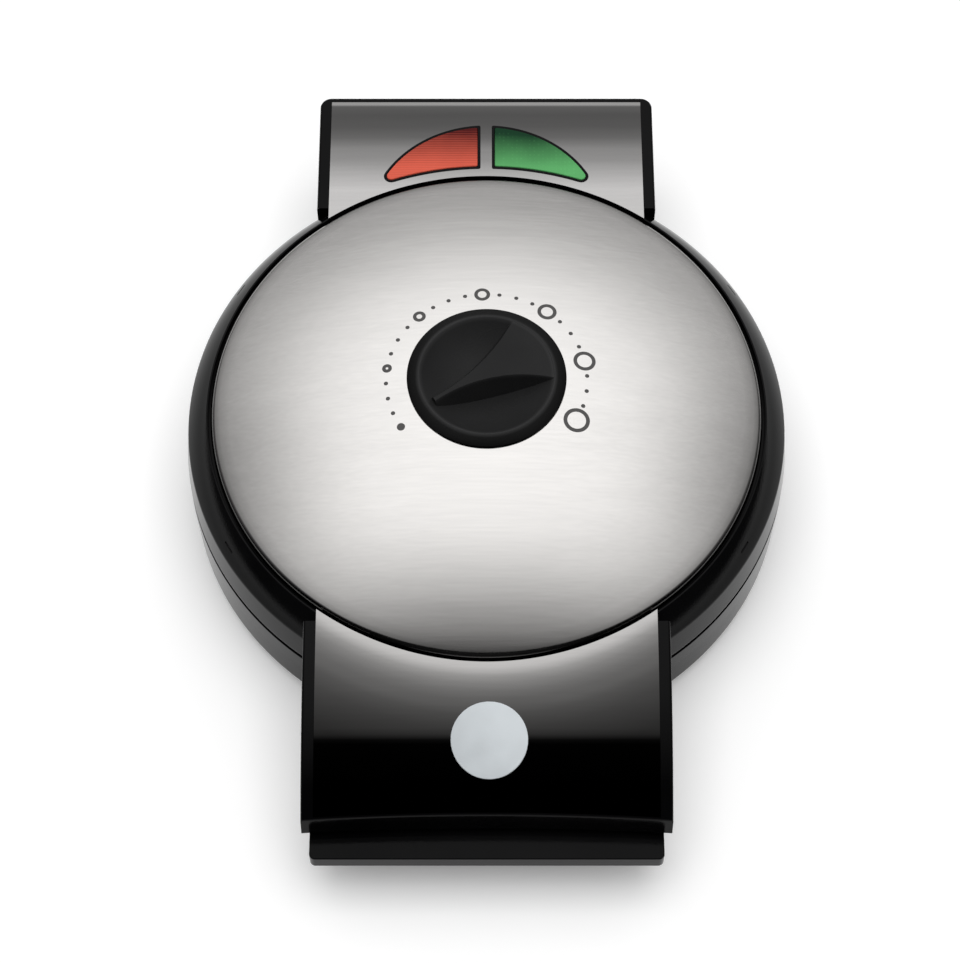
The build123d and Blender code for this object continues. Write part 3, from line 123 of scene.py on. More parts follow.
floor_size, glow_start, glow_full, near_glow = 4.0, 0.4, 0.9, 0.24
bpy.ops.mesh.primitive_plane_add(size=floor_size)
floor = bpy.context.object
floor.name = "floor"
floor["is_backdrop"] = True
floor_white = finish_named("floor_white")
matte = floor_white.node_tree.nodes["Principled BSDF"]
fill(floor_white, {"Base Color": (0.85, 0.85, 0.85, 1), "Roughness": 0.9, "Specular IOR Level": 0.0})
sight = node(floor_white, "ShaderNodeLightPath").outputs
seen = sum_of(floor_white, sight["Is Camera Ray"], sight["Is Glossy Ray"], "MAXIMUM")
seen = sum_of(floor_white, seen, sight["Is Transmission Ray"], "MAXIMUM")
spot = node(floor_white, "ShaderNodeTexCoord").outputs["Object"]
distance = node(floor_white, "ShaderNodeVectorMath", {0: spot}, operation="LENGTH").outputs["Value"]
reach = {"Value": distance, "From Min": glow_start, "From Max": glow_full, "To Min": near_glow, "To Max": 1.0}
level = node(floor_white, "ShaderNodeMapRange", reach).outputs[0]
strength = sum_of(floor_white, seen, level, "MULTIPLY")
glow = node(floor_white, "ShaderNodeEmission", {"Color": (1, 1, 1, 1), "Strength": strength})
both = node(floor_white, "ShaderNodeAddShader", {0: matte.outputs[0], 1: glow.outputs[0]})
fill(floor_white, {"Surface": both.outputs[0]}, "Material Output")
floor.data.materials.append(floor_white)

room = bpy.data.worlds.new("room")
bpy.context.scene.world = room
room.use_nodes = True
front_to_back = [(-1.0, 0.08), (-0.9, 0.03), (-0.6, 0.004), (-0.42, 0.006), (-0.395, 0.02), (-0.375, 0.16)]
front_to_back += [
    (-0.3, 0.28), (-0.23, 0.47), (-0.15, 0.66), (-0.06, 0.84), (0.02, 0.95), (0.12, 1.0), (1.0, 1.0)
]
middle_out = [(0.0, 1.28), (0.27, 1.24), (0.36, 1.19), (0.44, 1.1), (0.52, 0.93), (0.6, 0.7), (0.66, 0.53)]
middle_out += [(0.72, 0.36), (0.8, 0.2), (0.9, 0.12), (1.2, 0.08)]
brightest, middle_y, stretch_y, level_sight = 1.28, 0.43, 0.8, 0.02
way = node(room, "ShaderNodeSeparateXYZ", {0: node(room, "ShaderNodeTexCoord").outputs["Generated"]}).outputs
from_front = sum_of(room, sum_of(room, way["Y"], 0.5, "MULTIPLY"), 0.5)
along_y = ramp(room, from_front, [((place + 1) / 2, level) for place, level in front_to_back])
behind = sum_of(room, sum_of(room, way["Y"], middle_y, "SUBTRACT"), 0.0, "MAXIMUM")
behind = sum_of(room, sum_of(room, behind, stretch_y, "DIVIDE"), 2.0, "POWER")
sideways = sum_of(room, way["X"], way["X"], "MULTIPLY")
from_middle = sum_of(room, sum_of(room, sideways, behind), 0.5, "POWER")
far_out = max(place for place, level in middle_out)
from_middle = sum_of(room, from_middle, far_out, "DIVIDE")
outwards = ramp(room, from_middle, [(place / far_out, level / brightest) for place, level in middle_out])
diffuser = sum_of(room, sum_of(room, along_y, outwards, "MULTIPLY"), brightest, "MULTIPLY")
sight = node(room, "ShaderNodeLightPath").outputs
mirrored = sum_of(room, sight["Is Glossy Ray"], sight["Is Transmission Ray"], "MAXIMUM")
mirrored_below = sum_of(room, mirrored, sum_of(room, way["Z"], level_sight, "LESS_THAN"), "MULTIPLY")
white = sum_of(room, sight["Is Camera Ray"], mirrored_below, "MAXIMUM")
strength = sum_of(room, diffuser, white, "MAXIMUM")
fill(room, {"Color": (1, 1, 1, 1), "Strength": strength}, "Background")

lamp_side, lamp_light = 1.6, 2.6
lamp_place = Vector((0, -0.2, 1.9))
lamp_shape = bpy.data.lights.new("fill_lamp", "AREA")
lamp_shape.shape = "SQUARE"
lamp_shape.size = lamp_side
lamp_shape.energy = lamp_light * math.pi * lamp_side**2
lamp = bpy.data.objects.new("fill_lamp", lamp_shape)
bpy.context.collection.objects.link(lamp)
lamp.location = lamp_place
lamp.rotation_euler = (-lamp_place).to_track_quat("-Z", "Y").to_euler()
lamp.visible_glossy = False
lamp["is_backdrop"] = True


# ---- Base tub ----
# The lower casing: a gloss black moulding with screw posts, foot holes and vents in its floor, and the lower
# half of the rear block. Screws through its posts hold it up against the base frame.
joints = {joint["name"]: joint for joint in frame["joints"]}
axis_y = joints["dial_turn"]["pos_m"][1] / mm
hinge_y, hinge_z = (value / mm for value in joints["lid_hinge"]["pos_m"][1:])
hinge_y -= axis_y
body_radius = 127.7
tub_radius, tub_floor, tub_low, tub_top, wall, tub_round, edge_break = 127.2, 8.8, 6.0, 26.0, 2.8, 4.0, 0.4
posts = [(x, y) for x in (-104.05, 104.05) for y in (-53.94, 53.94)]
post_radius, head_way, head_way_top, screw_way = 5.0, 3.7, 12.0, 1.95
foot_places = [(x, y) for x in (-62.01, 62.01) for y in (-91.94, 91.94)]
foot_way = 3.15
vent_count, first_vent, vent_middle, vent_half, vent_end = 8, 22.5, 52.0, 13.0, 2.0
hinge_radius, hinge_half, block_floor, block_front, hollow_front = 16.0, 68.7, 19.0, 124.6, 117.0
gland_turn, gland_height, gland_way_radius = math.radians(52), 16.5, 7.0


def as_object(name, mesh):
    """A linked object for a mesh."""
    obj = bpy.data.objects.new(name, mesh)
    bpy.context.collection.objects.link(obj)
    return obj


def solid(name, points, faces):
    """A closed mesh from points in millimetres about the body's axis, its faces turned outwards."""
    mesh = bpy.data.meshes.new(name)
    mesh.from_pydata([(x * mm, (y + axis_y) * mm, z * mm) for x, y, z in points], [], faces)
    form = bmesh.new()
    form.from_mesh(mesh)
    bmesh.ops.remove_doubles(form, verts=form.verts, dist=1e-7)
    bmesh.ops.recalc_face_normals(form, faces=form.faces)
    form.to_mesh(mesh)
    form.free()
    return as_object(name, mesh)


def faces_between(rings):
    """Faces between each ring of point numbers and the next. A ring may be one point, many times over."""
    faces = []
    for here, there in zip(rings, rings[1:]):
        for index in range(len(here)):
            after = (index + 1) % len(here)
            corners = dict.fromkeys((here[index], here[after], there[after], there[index]))
            if len(corners) > 2:
                faces.append(tuple(corners))
    return faces


def turned_points(profile, steps, depth=lambda place, radius, turn: 0.0):
    """Points round the body's axis on a profile of (radius, height), each sunk by a depth, and their rings."""
    points, rings = [], []
    for place, (radius, height) in enumerate(profile):
        count = steps if radius > 1e-6 else 1
        rings.append([len(points) + index % count for index in range(steps)])
        for turn in spread(0, math.tau, steps)[:count]:
            level = height - depth(place, radius, turn)
            points.append((radius * math.cos(turn), radius * math.sin(turn), level))
    return points, rings


def turned(name, profile, steps=288):
    """A closed profile of (radius, height) turned about the body's axis."""
    points, rings = turned_points(profile, steps)
    return solid(name, points, faces_between(rings + rings[:1]))


def lofted(name, rings):
    """A closed mesh through outlines that have the same number of points, capped at both ends."""
    points, count = [point for ring in rings for point in ring], len(rings[0])
    rows = [tuple(range(start, start + count)) for start in range(0, len(points), count)]
    return solid(name, points, [rows[0], rows[-1]] + faces_between(rows))


def arc(centre, radius, start, end, steps=8):
    """Points on an arc, from one angle to another in degrees."""
    turns = (math.radians(start + (end - start) * index / steps) for index in range(steps + 1))
    return [(centre[0] + radius * math.cos(turn), centre[1] + radius * math.sin(turn)) for turn in turns]


def bulge(start, end, radius):
    """Points on an arc of a given radius that swells to the right of the way from start to end."""
    start, end = Vector(start), Vector(end)
    middle, way = (start + end) / 2, (end - start)
    reach = math.sqrt(radius**2 - (way.length / 2) ** 2)
    centre = middle + Vector((-way.y, way.x)).normalized() * reach
    first = math.degrees(math.atan2(start.y - centre.y, start.x - centre.x))
    last = math.degrees(math.atan2(end.y - centre.y, end.x - centre.x))
    return arc(centre, radius, first, last + (360 if last < first else 0), 20)


def combine(obj, other, operation):
    """Joins, cuts or intersects obj with another solid, which is used up."""
    tool = obj.modifiers.new(operation, "BOOLEAN")
    tool.operation = operation
    tool.solver = "EXACT"
    tool.object = other
    bake(obj)
    bpy.data.objects.remove(other)


def cut(obj, other):
    """Cuts another solid out of obj."""
    combine(obj, other, "DIFFERENCE")


def bake(obj):
    """Turns obj's modifiers into plain mesh."""
    shape = bpy.data.meshes.new_from_object(obj.evaluated_get(bpy.context.evaluated_depsgraph_get()))
    obj.modifiers.clear()
    obj.data = shape


def smooth(obj, angle=32):
    """Smooth shading between faces that meet at less than an angle in degrees, flat faces kept flat."""
    obj.data.shade_smooth()
    obj.data.set_sharp_from_angle(angle=math.radians(angle))
    even = obj.modifiers.new("even", "WEIGHTED_NORMAL")
    even.keep_sharp = True
    bake(obj)


def spread(low, high, steps):
    """Evenly spaced values from low to high."""
    return [low + (high - low) * index / steps for index in range(steps + 1)]


def rod(name, start, end, radius, steps=48):
    """A round bar between two points."""
    start, end = Vector(start), Vector(end)
    turn = (end - start).to_track_quat("Z", "Y")
    angles = spread(0, math.tau, steps)[:-1]
    circle = [turn @ Vector((radius * math.cos(angle), radius * math.sin(angle), 0)) for angle in angles]
    return lofted(name, [[tuple(place + point) for point in circle] for place in (start, end)])


def hinge_bar(name, radius, half, low, high, front):
    """The base's rear block, a bar along X that is rounded about the hinge axis, its ends rounded too."""
    rings = []
    left = [(-half, 0.5), (-half + 0.15, 0.15), (-half + 0.5, 0.0)]
    for x, inset in left + [(-x, inset) for x, inset in reversed(left)]:
        reach = radius - inset
        first = math.degrees(math.asin(max(-1.0, (low + inset - hinge_z) / reach)))
        last = math.degrees(math.asin(min(0.0, high - hinge_z) / reach))
        side = [(front, low + inset), *arc((hinge_y, hinge_z), reach, first, last, 24)]
        side += [(side[-1][0], high), (front, high)] if high > hinge_z else [(front, high)]
        rings.append([(x, y, z) for y, z in side])
    return lofted(name, rings)


tub_profile = [(0, tub_low), *arc((tub_radius - tub_round, tub_low + tub_round), tub_round, -90, 0, 10)]
tub_profile += arc((tub_radius - edge_break, tub_top - edge_break), edge_break, 0, 90, 3)
tub_profile += [(tub_radius - wall, tub_top), (tub_radius - wall, tub_floor), (0, tub_floor)]
tub = turned("base_tub_shell", tub_profile)
block_low = hinge_bar("block_low", hinge_radius, hinge_half, block_floor, tub_top, block_front)
combine(tub, block_low, "UNION")
room_radius, room_half, room_low = hinge_radius - wall, hinge_half - wall, block_floor + wall
block_room = hinge_bar("block_low_room", room_radius, room_half, room_low, tub_top + 1, hollow_front)
cut(tub, block_room)
for x, y in posts:
    combine(tub, rod("post", (x, y, 7.0), (x, y, tub_top), post_radius), "UNION")
    cut(tub, rod("head_way", (x, y, 5.0), (x, y, head_way_top), head_way))
    cut(tub, rod("screw_way", (x, y, 11.0), (x, y, 27.0), screw_way, 24))
for x, y in foot_places:
    cut(tub, rod("foot_way", (x, y, 5.0), (x, y, 10.0), foot_way, 32))
for index in range(vent_count):
    turn = math.radians(first_vent + 360 * index / vent_count)
    along, across = Vector((math.cos(turn), math.sin(turn))), Vector((-math.sin(turn), math.cos(turn)))
    slot = arc((vent_half, 0), vent_end, -90, 90, 8) + arc((-vent_half, 0), vent_end, 90, 270, 8)
    plan = [along * (vent_middle + u) + across * v for u, v in slot]
    cut(tub, lofted("vent", [[(p.x, p.y, z) for p in plan] for z in (5.0, 10.0)]))
gland_way = Vector((math.cos(gland_turn), math.sin(gland_turn), 0))
gland_seat = gland_way * tub_radius + Vector((0, 0, gland_height))
gland_hole = rod("gland_hole", gland_seat - gland_way * 10, gland_seat + gland_way * 5, gland_way_radius)
cut(tub, gland_hole)
smooth(tub)


def place_on(finish, stretch=(1, 1, 1)):
    """The piece's own coordinates, stretched along each axis."""
    spot = node(finish, "ShaderNodeTexCoord").outputs["Object"]
    return node(finish, "ShaderNodeMapping", {"Vector": spot, "Scale": stretch}).outputs["Vector"]


def noise(finish, spot, scale, detail):
    """Cloudy noise, from 0 to 1."""
    return node(finish, "ShaderNodeTexNoise", {"Vector": spot, "Scale": scale, "Detail": detail}).outputs["Fac"]


def relief(finish, height, strength, distance):
    """Fine relief on the finish's face, as deep as a distance in metres."""
    values = {"Height": height, "Strength": strength, "Distance": distance}
    return node(finish, "ShaderNodeBump", values).outputs["Normal"]


def moulded(name, colour, gloss, peel=0.05, grain=900.0):
    """Moulded plastic: a faint orange peel, patchy gloss, and slight dust in its colour."""
    finish, worn = finish_named(name), 0.03
    spot = place_on(finish)
    patches = noise(finish, spot, 22.0, 3.0)
    pits = noise(finish, spot, grain, 2.0)
    dark = tuple(value * 0.85 for value in colour)
    light = tuple(value * 1.15 + 0.001 for value in colour)
    fill(finish, {
        "Base Color": ramp(finish, patches, [(0.35, dark), (0.65, light)]),
        "Roughness": ramp(finish, patches, [(0.3, max(0.02, gloss - worn)), (0.7, gloss + worn)]),
        "Normal": relief(finish, pits, peel, 0.0004),
        "IOR": 1.49,
    })
    return finish


casing_black = moulded("casing_black", (0.0016, 0.0016, 0.0018), 0.12)
fill(casing_black, {"Specular IOR Level": 0.08})


def put_on(obj, finish, body, name=None):
    """Gives a finished piece its material and its body, and hides the node that it stands for."""
    obj.data.materials.clear()
    obj.data.materials.append(finish)
    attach(obj, body)
    if name:
        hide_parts(name)


put_on(tub, casing_black, "base", "base_tub")


# ---- Rubber feet ----
# Four soft black rubber pads under the tub, which keep it off the table and let air reach the vents.
# Each has a stem whose barb is pushed through a hole in the tub's floor.
foot_sizes = {"Radius": 9.0, "Height": 6.0, "Edge": 0.9, "Stem radius": 3.0, "Stem height": 2.8, "Barb": 1.2}


def run_tree(obj, tree, sizes, finish):
    """Runs a tree on obj, with its sizes in millimetres, and keeps the plain mesh that it makes."""
    maker = obj.modifiers.new("maker", "NODES")
    maker.node_group = tree
    for item in tree.interface.items_tree:
        if item.item_type == "SOCKET" and item.in_out == "INPUT" and item.name in sizes:
            maker[item.identifier] = sizes[item.name] * mm
        elif item.item_type == "SOCKET" and item.in_out == "INPUT" and item.name == "Finish":
            maker[item.identifier] = finish
    bake(obj)


def repeated(name, tree, places, sizes, finish):
    """One point per copy, run through a tree with its sizes in millimetres and baked to plain mesh."""
    seeds = bpy.data.meshes.new(name)
    seeds.from_pydata([(x * mm, (y + axis_y) * mm, z * mm) for x, y, z in places], [], [])
    made = as_object(name, seeds)
    run_tree(made, tree, sizes, finish)
    return made


def new_tree(name, sizes):
    """A Geometry Nodes tree with one named input for each size, and its first and last nodes."""
    tree = bpy.data.node_groups.new(name, "GeometryNodeTree")
    tree.interface.new_socket("Geometry", in_out="INPUT", socket_type="NodeSocketGeometry")
    for size in sizes:
        tree.interface.new_socket(size, in_out="INPUT", socket_type="NodeSocketFloat")
    tree.interface.new_socket("Finish", in_out="INPUT", socket_type="NodeSocketMaterial")
    tree.interface.new_socket("Geometry", in_out="OUTPUT", socket_type="NodeSocketGeometry")
    return tree, tree.nodes.new("NodeGroupInput"), tree.nodes.new("NodeGroupOutput")


def stacked_form(tree, start_radius, stages, steps=40):
    """A round closed form drawn upwards from a disc: each stage is (rise, radius), both in metres."""
    bottom = node(tree, "GeometryNodeMeshCircle", {"Vertices": steps, "Radius": start_radius}, fill_type="NGON")
    form, top, radius = bottom.outputs[0], None, start_radius
    for rise, wanted in stages:
        drawn = {"Mesh": form, "Offset": (0, 0, 1), "Offset Scale": rise, "Individual": False}
        if top is not None:
            drawn["Selection"] = top
        pulled = node(tree, "GeometryNodeExtrudeMesh", drawn)
        share = sum_of(tree, wanted, radius, "DIVIDE")
        sized = {"Geometry": pulled.outputs["Mesh"], "Selection": pulled.outputs["Top"], "Scale": share}
        form = node(tree, "GeometryNodeScaleElements", sized).outputs[0]
        top, radius = pulled.outputs["Top"], wanted
    turned_down = node(tree, "GeometryNodeFlipFaces", {"Mesh": bottom.outputs[0]}).outputs[0]
    both = node(tree, "GeometryNodeJoinGeometry")
    tree.links.new(form, both.inputs[0])
    tree.links.new(turned_down, both.inputs[0])
    return node(tree, "GeometryNodeMergeByDistance", {"Geometry": both.outputs[0], "Distance": 1e-6}).outputs[0]


def set_out(tree, inside, outside, form):
    """Puts a copy of a form on each point, makes the copies real and gives them their finish."""
    copies = node(tree, "GeometryNodeMeshToPoints", {"Mesh": inside.outputs["Geometry"]}).outputs[0]
    copies = node(tree, "GeometryNodeInstanceOnPoints", {"Points": copies, "Instance": form}).outputs[0]
    real = node(tree, "GeometryNodeRealizeInstances", {"Geometry": copies}).outputs[0]
    painted = {"Geometry": real, "Material": inside.outputs["Finish"]}
    tree.links.new(node(tree, "GeometryNodeSetMaterial", painted).outputs[0], outside.inputs[0])


foot_tree, inside, outside = new_tree("foot_tree", foot_sizes)
size = inside.outputs
sole = sum_of(foot_tree, size["Radius"], size["Edge"], "SUBTRACT")
barrel = sum_of(foot_tree, size["Height"], size["Edge"], "SUBTRACT")
barb_radius = sum_of(foot_tree, size["Stem radius"], size["Barb"])
form = stacked_form(foot_tree, sole, [
    (size["Edge"], size["Radius"]), (barrel, size["Radius"]), (0.0, size["Stem radius"]),
    (size["Stem height"], size["Stem radius"]), (0.0, barb_radius), (size["Barb"], size["Stem radius"]),
])
set_out(foot_tree, inside, outside, form)
rubber = moulded("foot_rubber", (0.012, 0.012, 0.012), 0.62, peel=0.25, grain=1400.0)
feet = repeated("feet", foot_tree, [(x, y, 0.0) for x, y in foot_places], foot_sizes, rubber)
smooth(feet)
put_on(feet, rubber, "base", "base_feet")


# ---- Base frame and lower handle ----
# The ring that closes the tub and carries the lower plate, moulded in one with the lower handle and the
# upper part of the hinge block. A satin cover closes the handle from below.
frame_top, frame_inner, ledge_inner, flange_low = 36.5, 112.5, 107.0, 29.0
low_handle_half, low_handle_front, low_handle_top, low_handle_low = 71.0, -188.5, 32.0, 24.3
low_corner, lip, boss_radius, boss_length, pin_way = 2.4, 0.5, 6.0, 13.0, 3.06


def lip_outline(inset, level, corner=low_corner, back=-112.0):
    """Plan of the lower handle, moved inwards, at a height."""
    half, front, corner = low_handle_half - inset, low_handle_front + inset, corner - inset
    left = arc((corner - half, front + corner), corner, 180, 270)
    right = arc((half - corner, front + corner), corner, 270, 360)
    return [(x, y, level) for x, y in [(-half, back), *left, *right, (half, back)]]


def box_solid(name, low, high):
    """A plain box between two corners."""
    ring = [(low[0], low[1]), (high[0], low[1]), (high[0], high[1]), (low[0], high[1])]
    return lofted(name, [[(x, y, level) for x, y in ring] for level in (low[2], high[2])])


def hinge_rod(side, near, far, radius, steps=48):
    """A round bar on the hinge axis, between two distances from the middle, on one side."""
    return rod("hinge_rod", (side * near, hinge_y, hinge_z), (side * far, hinge_y, hinge_z), radius, steps)


quarter = [math.radians(15 * n) for n in range(7)]
lip_levels = [(lip * (1 - math.sin(t)), low_handle_low + lip * (1 - math.cos(t))) for t in quarter]
lip_levels += [(lip * (1 - math.cos(t)), low_handle_top - lip * (1 - math.sin(t))) for t in quarter]
base_ring = lofted("base_frame_shell", [lip_outline(inset, level) for inset, level in lip_levels])
hollow_levels = (20.0, low_handle_top - wall)
hollow = lofted("lip_hollow", [lip_outline(wall, level, wall + 0.8, -100.0) for level in hollow_levels])
cut(base_ring, hollow)
for name, radius, low, high in (
    ("tub_room", tub_radius + 0.3, 20.0, tub_top), ("ring_room", 122.0, 25.0, 40.0)
):
    cut(base_ring, turned(name, [(0, low), (radius, low), (radius, high), (0, high)]))
block_high = hinge_bar("block_high", hinge_radius, hinge_half, tub_top - 0.5, frame_top, block_front)
inner_high = hinge_bar("block_high_room", room_radius, room_half, tub_top - 1, frame_top - wall, hollow_front)
cut(block_high, inner_high)
cut(block_high, box_solid("block_seat", (-80, 100, 20), (80, 160, tub_top)))
combine(base_ring, block_high, "UNION")
ring_profile = arc((body_radius - edge_break, tub_top + edge_break), edge_break, -90, 0, 3)
ring_profile += arc((body_radius - 0.25, frame_top - 0.25), 0.25, 0, 90, 3)
ring_profile += arc((frame_inner + 0.5, frame_top - 0.5), 0.5, 90, 180, 3)
ring_profile += [(frame_inner, flange_low), (ledge_inner, flange_low), (ledge_inner, tub_top)]
combine(base_ring, turned("ring", ring_profile), "UNION")
for side in (-1, 1):
    boss_inner = hinge_half - boss_length
    combine(base_ring, hinge_rod(side, boss_inner, hinge_half - 0.1, boss_radius), "UNION")
    cut(base_ring, hinge_rod(side, 0.98 * boss_inner, 80.0, pin_way))
smooth(base_ring)
put_on(base_ring, casing_black, "base", "base_frame")

cover_low, cover_high, cover_gap, back_radius, back_turn = 24.3, 26.3, 0.3, 127.99, 0.554
cover_plan = [(x, y) for x, y, level in lip_outline(wall + cover_gap, 0.0, wall + 1.3)][1:-1]
back_turns = spread(back_turn, -back_turn, 24)
cover_plan += [(back_radius * math.sin(turn), -back_radius * math.cos(turn)) for turn in back_turns]
handle_cover = lofted(
    "lower_cover", [[(x, y, level) for x, y in cover_plan] for level in (cover_low, cover_high)]
)
cover_black = moulded("cover_black", (0.012, 0.012, 0.0125), 0.42, peel=0.3, grain=2400.0)
smooth(handle_cover)
put_on(handle_cover, cover_black, "base", "lower_handle_cover")


# ---- Hinge pins ----
# Two shouldered pins of turned steel, pressed from outside into the base's bosses. The lid's cheeks turn on
# them, and their heads keep the cheeks from sliding off.
pin_stages = [(74.0, 4.5), (73.9, 4.8), (73.6, 5.0), (72.5, 5.0), (72.5, 3.0), (55.5, 3.0), (55.0, 2.5)]


def metal(name, colour, gloss, along=(1, 1, 1), scratch=400.0):
    """Bare metal: fine machining or brushing lines drawn out along one axis, and faint patches of wear."""
    finish, worn = finish_named(name), 0.05
    lines = noise(finish, place_on(finish, along), scratch, 4.0)
    patches = noise(finish, place_on(finish), 30.0, 3.0)
    dark, light = tuple(value * 0.9 for value in colour), tuple(min(1.0, value * 1.08) for value in colour)
    mixed = sum_of(finish, sum_of(finish, lines, patches), 0.5, "MULTIPLY")
    fill(finish, {
        "Base Color": ramp(finish, lines, [(0.3, dark), (0.7, light)]),
        "Roughness": ramp(finish, mixed, [(0.3, max(0.02, gloss - worn)), (0.7, gloss + worn)]),
        "Normal": relief(finish, lines, 0.05, 0.0002),
        "Metallic": 1.0,
    })
    return finish


def hinge_pin(side):
    """The pin on one side, from the rim of its head to its chamfered end."""
    turns = spread(0, math.tau, 48)[:-1]
    return lofted("hinge_pin", [
        [(side * x, hinge_y + radius * math.cos(t), hinge_z + radius * math.sin(t)) for t in turns]
        for x, radius in pin_stages])


turned_steel = metal("turned_steel", (0.56, 0.56, 0.57), 0.24, along=(0.2, 4, 4))
pins = hinge_pin(-1)
combine(pins, hinge_pin(1), "UNION")
smooth(pins)
put_on(pins, turned_steel, "base", "hinge_pins")


# ---- Cord gland ----
# A soft black bush pushed from outside through the tub's wall at the right rear. Its collar stops it, and the
# mains cord would enter through its middle.
bush_radius, cord_radius = 6.85, 4.0
collar_stages = ((-0.15, 1.4, 8.6), (1.4, 1.75, 8.45), (1.75, 2.0, 8.1))
gland = rod("gland_body", gland_seat - gland_way * 10, gland_seat - gland_way * 0.15, bush_radius)
for start, end, radius in collar_stages:
    collar = rod("collar", gland_seat + gland_way * (start - 0.01), gland_seat + gland_way * end, radius, 72)
    combine(gland, collar, "UNION")
cord_way = rod("cord_way", gland_seat - gland_way * 12, gland_seat + gland_way * 5, cord_radius)
cut(gland, cord_way)
smooth(gland)
put_on(gland, cover_black, "base", "cord_gland")


# ---- Wiring and fuse in the base ----
# A porcelain block joins the cord to silicone leads. A thermal fuse in its clip sits on the plate's back,
# in series with the element. None of it is seen once the tub is screwed on.
porcelain = moulded("porcelain", (0.78, 0.76, 0.71), 0.22, peel=0.04)
lead_red = moulded("lead_silicone", (0.35, 0.03, 0.02), 0.48, peel=0.15, grain=1800.0)
brass = metal("brass", (0.78, 0.57, 0.25), 0.28)
zinc_sheet = metal("zinc_sheet", (0.62, 0.63, 0.62), 0.38, scratch=260.0)


def painted(finish, *names):
    """Gives pieces that stay as they were built their material."""
    for name in names:
        piece = frame["nodes"][name]
        piece.data.materials.clear()
        piece.data.materials.append(finish)


painted(porcelain, "terminal_block")
painted(brass, "terminal_screws", "thermal_fuse")
painted(lead_red, "base_leads")
painted(zinc_sheet, "fuse_clip", "lower_reflector", "lower_clamps")


# ---- Baking plates and elements ----
# Two cast aluminium plates with a dark non-stick coat and a shallow engraved pattern: a rosette, looped
# borders and leaves, as krumkake irons traditionally have. A sheathed element is clamped to each plate's
# back, and the plate's flange is screwed to the frame.
plate_radius, flange_radius, plate_top, plate_low, flange_high = 106.0, 112.0, 36.45, 27.45, 32.0
middle_z, flange_back = 37.05, 29.0
cut_depth, cut_width, borders = 0.55, 1.25, (5.0, 27.5, 55.0, 77.0, 97.0)
rosette, lace, leaves, fans = (0.0, 27.0), (27.0, 56.0), (58.0, 74.0), (78.0, 97.0)


def engraved(radius, turn):
    """Depth of the pattern in millimetres at a radius and an angle on the plate."""
    def line(distance, width=cut_width):
        share = max(0.0, 1.0 - (distance / width) ** 2)
        return share * share * (3 - 2 * share)

    deepest = 0.0
    for phase in (0, math.pi):
        lobes = math.cos(8 * turn + phase)
        if radius < rosette[1]:
            deepest = max(deepest, line(abs(radius - 14.0 - 9.0 * abs(math.cos(4 * turn + phase / 2))) * 0.62))
        if lace[0] < radius < lace[1]:
            slope = math.hypot(1.0, 8 * 8.0 * math.sin(8 * turn + phase) / max(radius, 1))
            deepest = max(deepest, line(abs(radius - 41.0 - 8.0 * lobes) / slope))
            slope = math.hypot(1.0, 8 * 4.0 * math.sin(8 * turn + phase) / max(radius, 1))
            deepest = max(deepest, 0.7 * line(abs(radius - 41.0 - 4.0 * lobes) / slope, 0.9))
        if fans[0] < radius < fans[1]:
            fan = math.cos(24 * turn + phase)
            slope = math.hypot(1.0, 24 * 5.5 * math.sin(24 * turn + phase) / radius)
            deepest = max(deepest, line(abs(radius - 87.5 - 5.5 * fan) / slope))
    for ring in borders:
        deepest = max(deepest, line(abs(radius - ring)))
    spoke = abs(math.remainder(turn, math.tau / 16)) * radius
    if leaves[0] < radius < leaves[1]:
        leaf = 4.6 * math.sin(math.pi * (radius - leaves[0]) / (leaves[1] - leaves[0])) ** 0.8
        deepest = max(deepest, line(abs(spoke - leaf) * 0.8), 0.8 * line(spoke, 0.9))
        between = abs(math.remainder(turn + math.tau / 32, math.tau / 16)) * radius
        deepest = max(deepest, line(abs(math.hypot(between, radius - sum(leaves) / 2) - 2.2), 0.9))
    if radius < borders[0]:
        deepest = max(deepest, line(radius, 2.4))
    return cut_depth * deepest


def plate_form(name, flip):
    """A plate: the engraved face, its overflow channel, rim, seating flange and flat back, about the axis."""
    face_radii = [0.0] + spread(0.8, 98.8, 122) + [99.6, 100.2]
    channel = [(101.5 + u, plate_top - 1.2 * math.cos(math.pi * u / 2.5) ** 2) for u in spread(-1.25, 1.25, 8)]
    side = [*arc((plate_radius - 0.6, plate_top - 0.6), 0.6, 90, 0, 4), (plate_radius, flange_high + 0.4)]
    side += [(plate_radius + 0.4, flange_high), *arc((flange_radius - 0.3, flange_high - 0.3), 0.3, 90, 0, 2)]
    side += [
        (flange_radius, flange_back), (plate_radius, flange_back), (plate_radius, plate_low), (0.0, plate_low)
    ]
    profile = [(radius, plate_top) for radius in face_radii] + channel + side

    def depth(place, radius, turn):
        return engraved(radius, turn) if place < len(face_radii) else 0.0

    points, rings = turned_points(profile, 512, depth)
    if flip:
        points = [(x, y, 2 * middle_z - z) for x, y, z in points]
    return solid(name, points, faces_between(rings))


plate_coat = moulded("plate_coat", (0.028, 0.027, 0.026), 0.36, peel=0.35, grain=1600.0)
fill(plate_coat, {"Metallic": 0.35})
sheathed = metal("element_sheath", (0.35, 0.34, 0.33), 0.42, scratch=500.0)
for name, element, flip, body in (
    ("lower_plate", "lower_element", False, "base"), ("upper_plate", "upper_element", True, "lid"),
):
    plate = plate_form(name + "_casting", flip)
    smooth(plate, 50)
    put_on(plate, plate_coat, body, name)
    painted(sheathed, element)


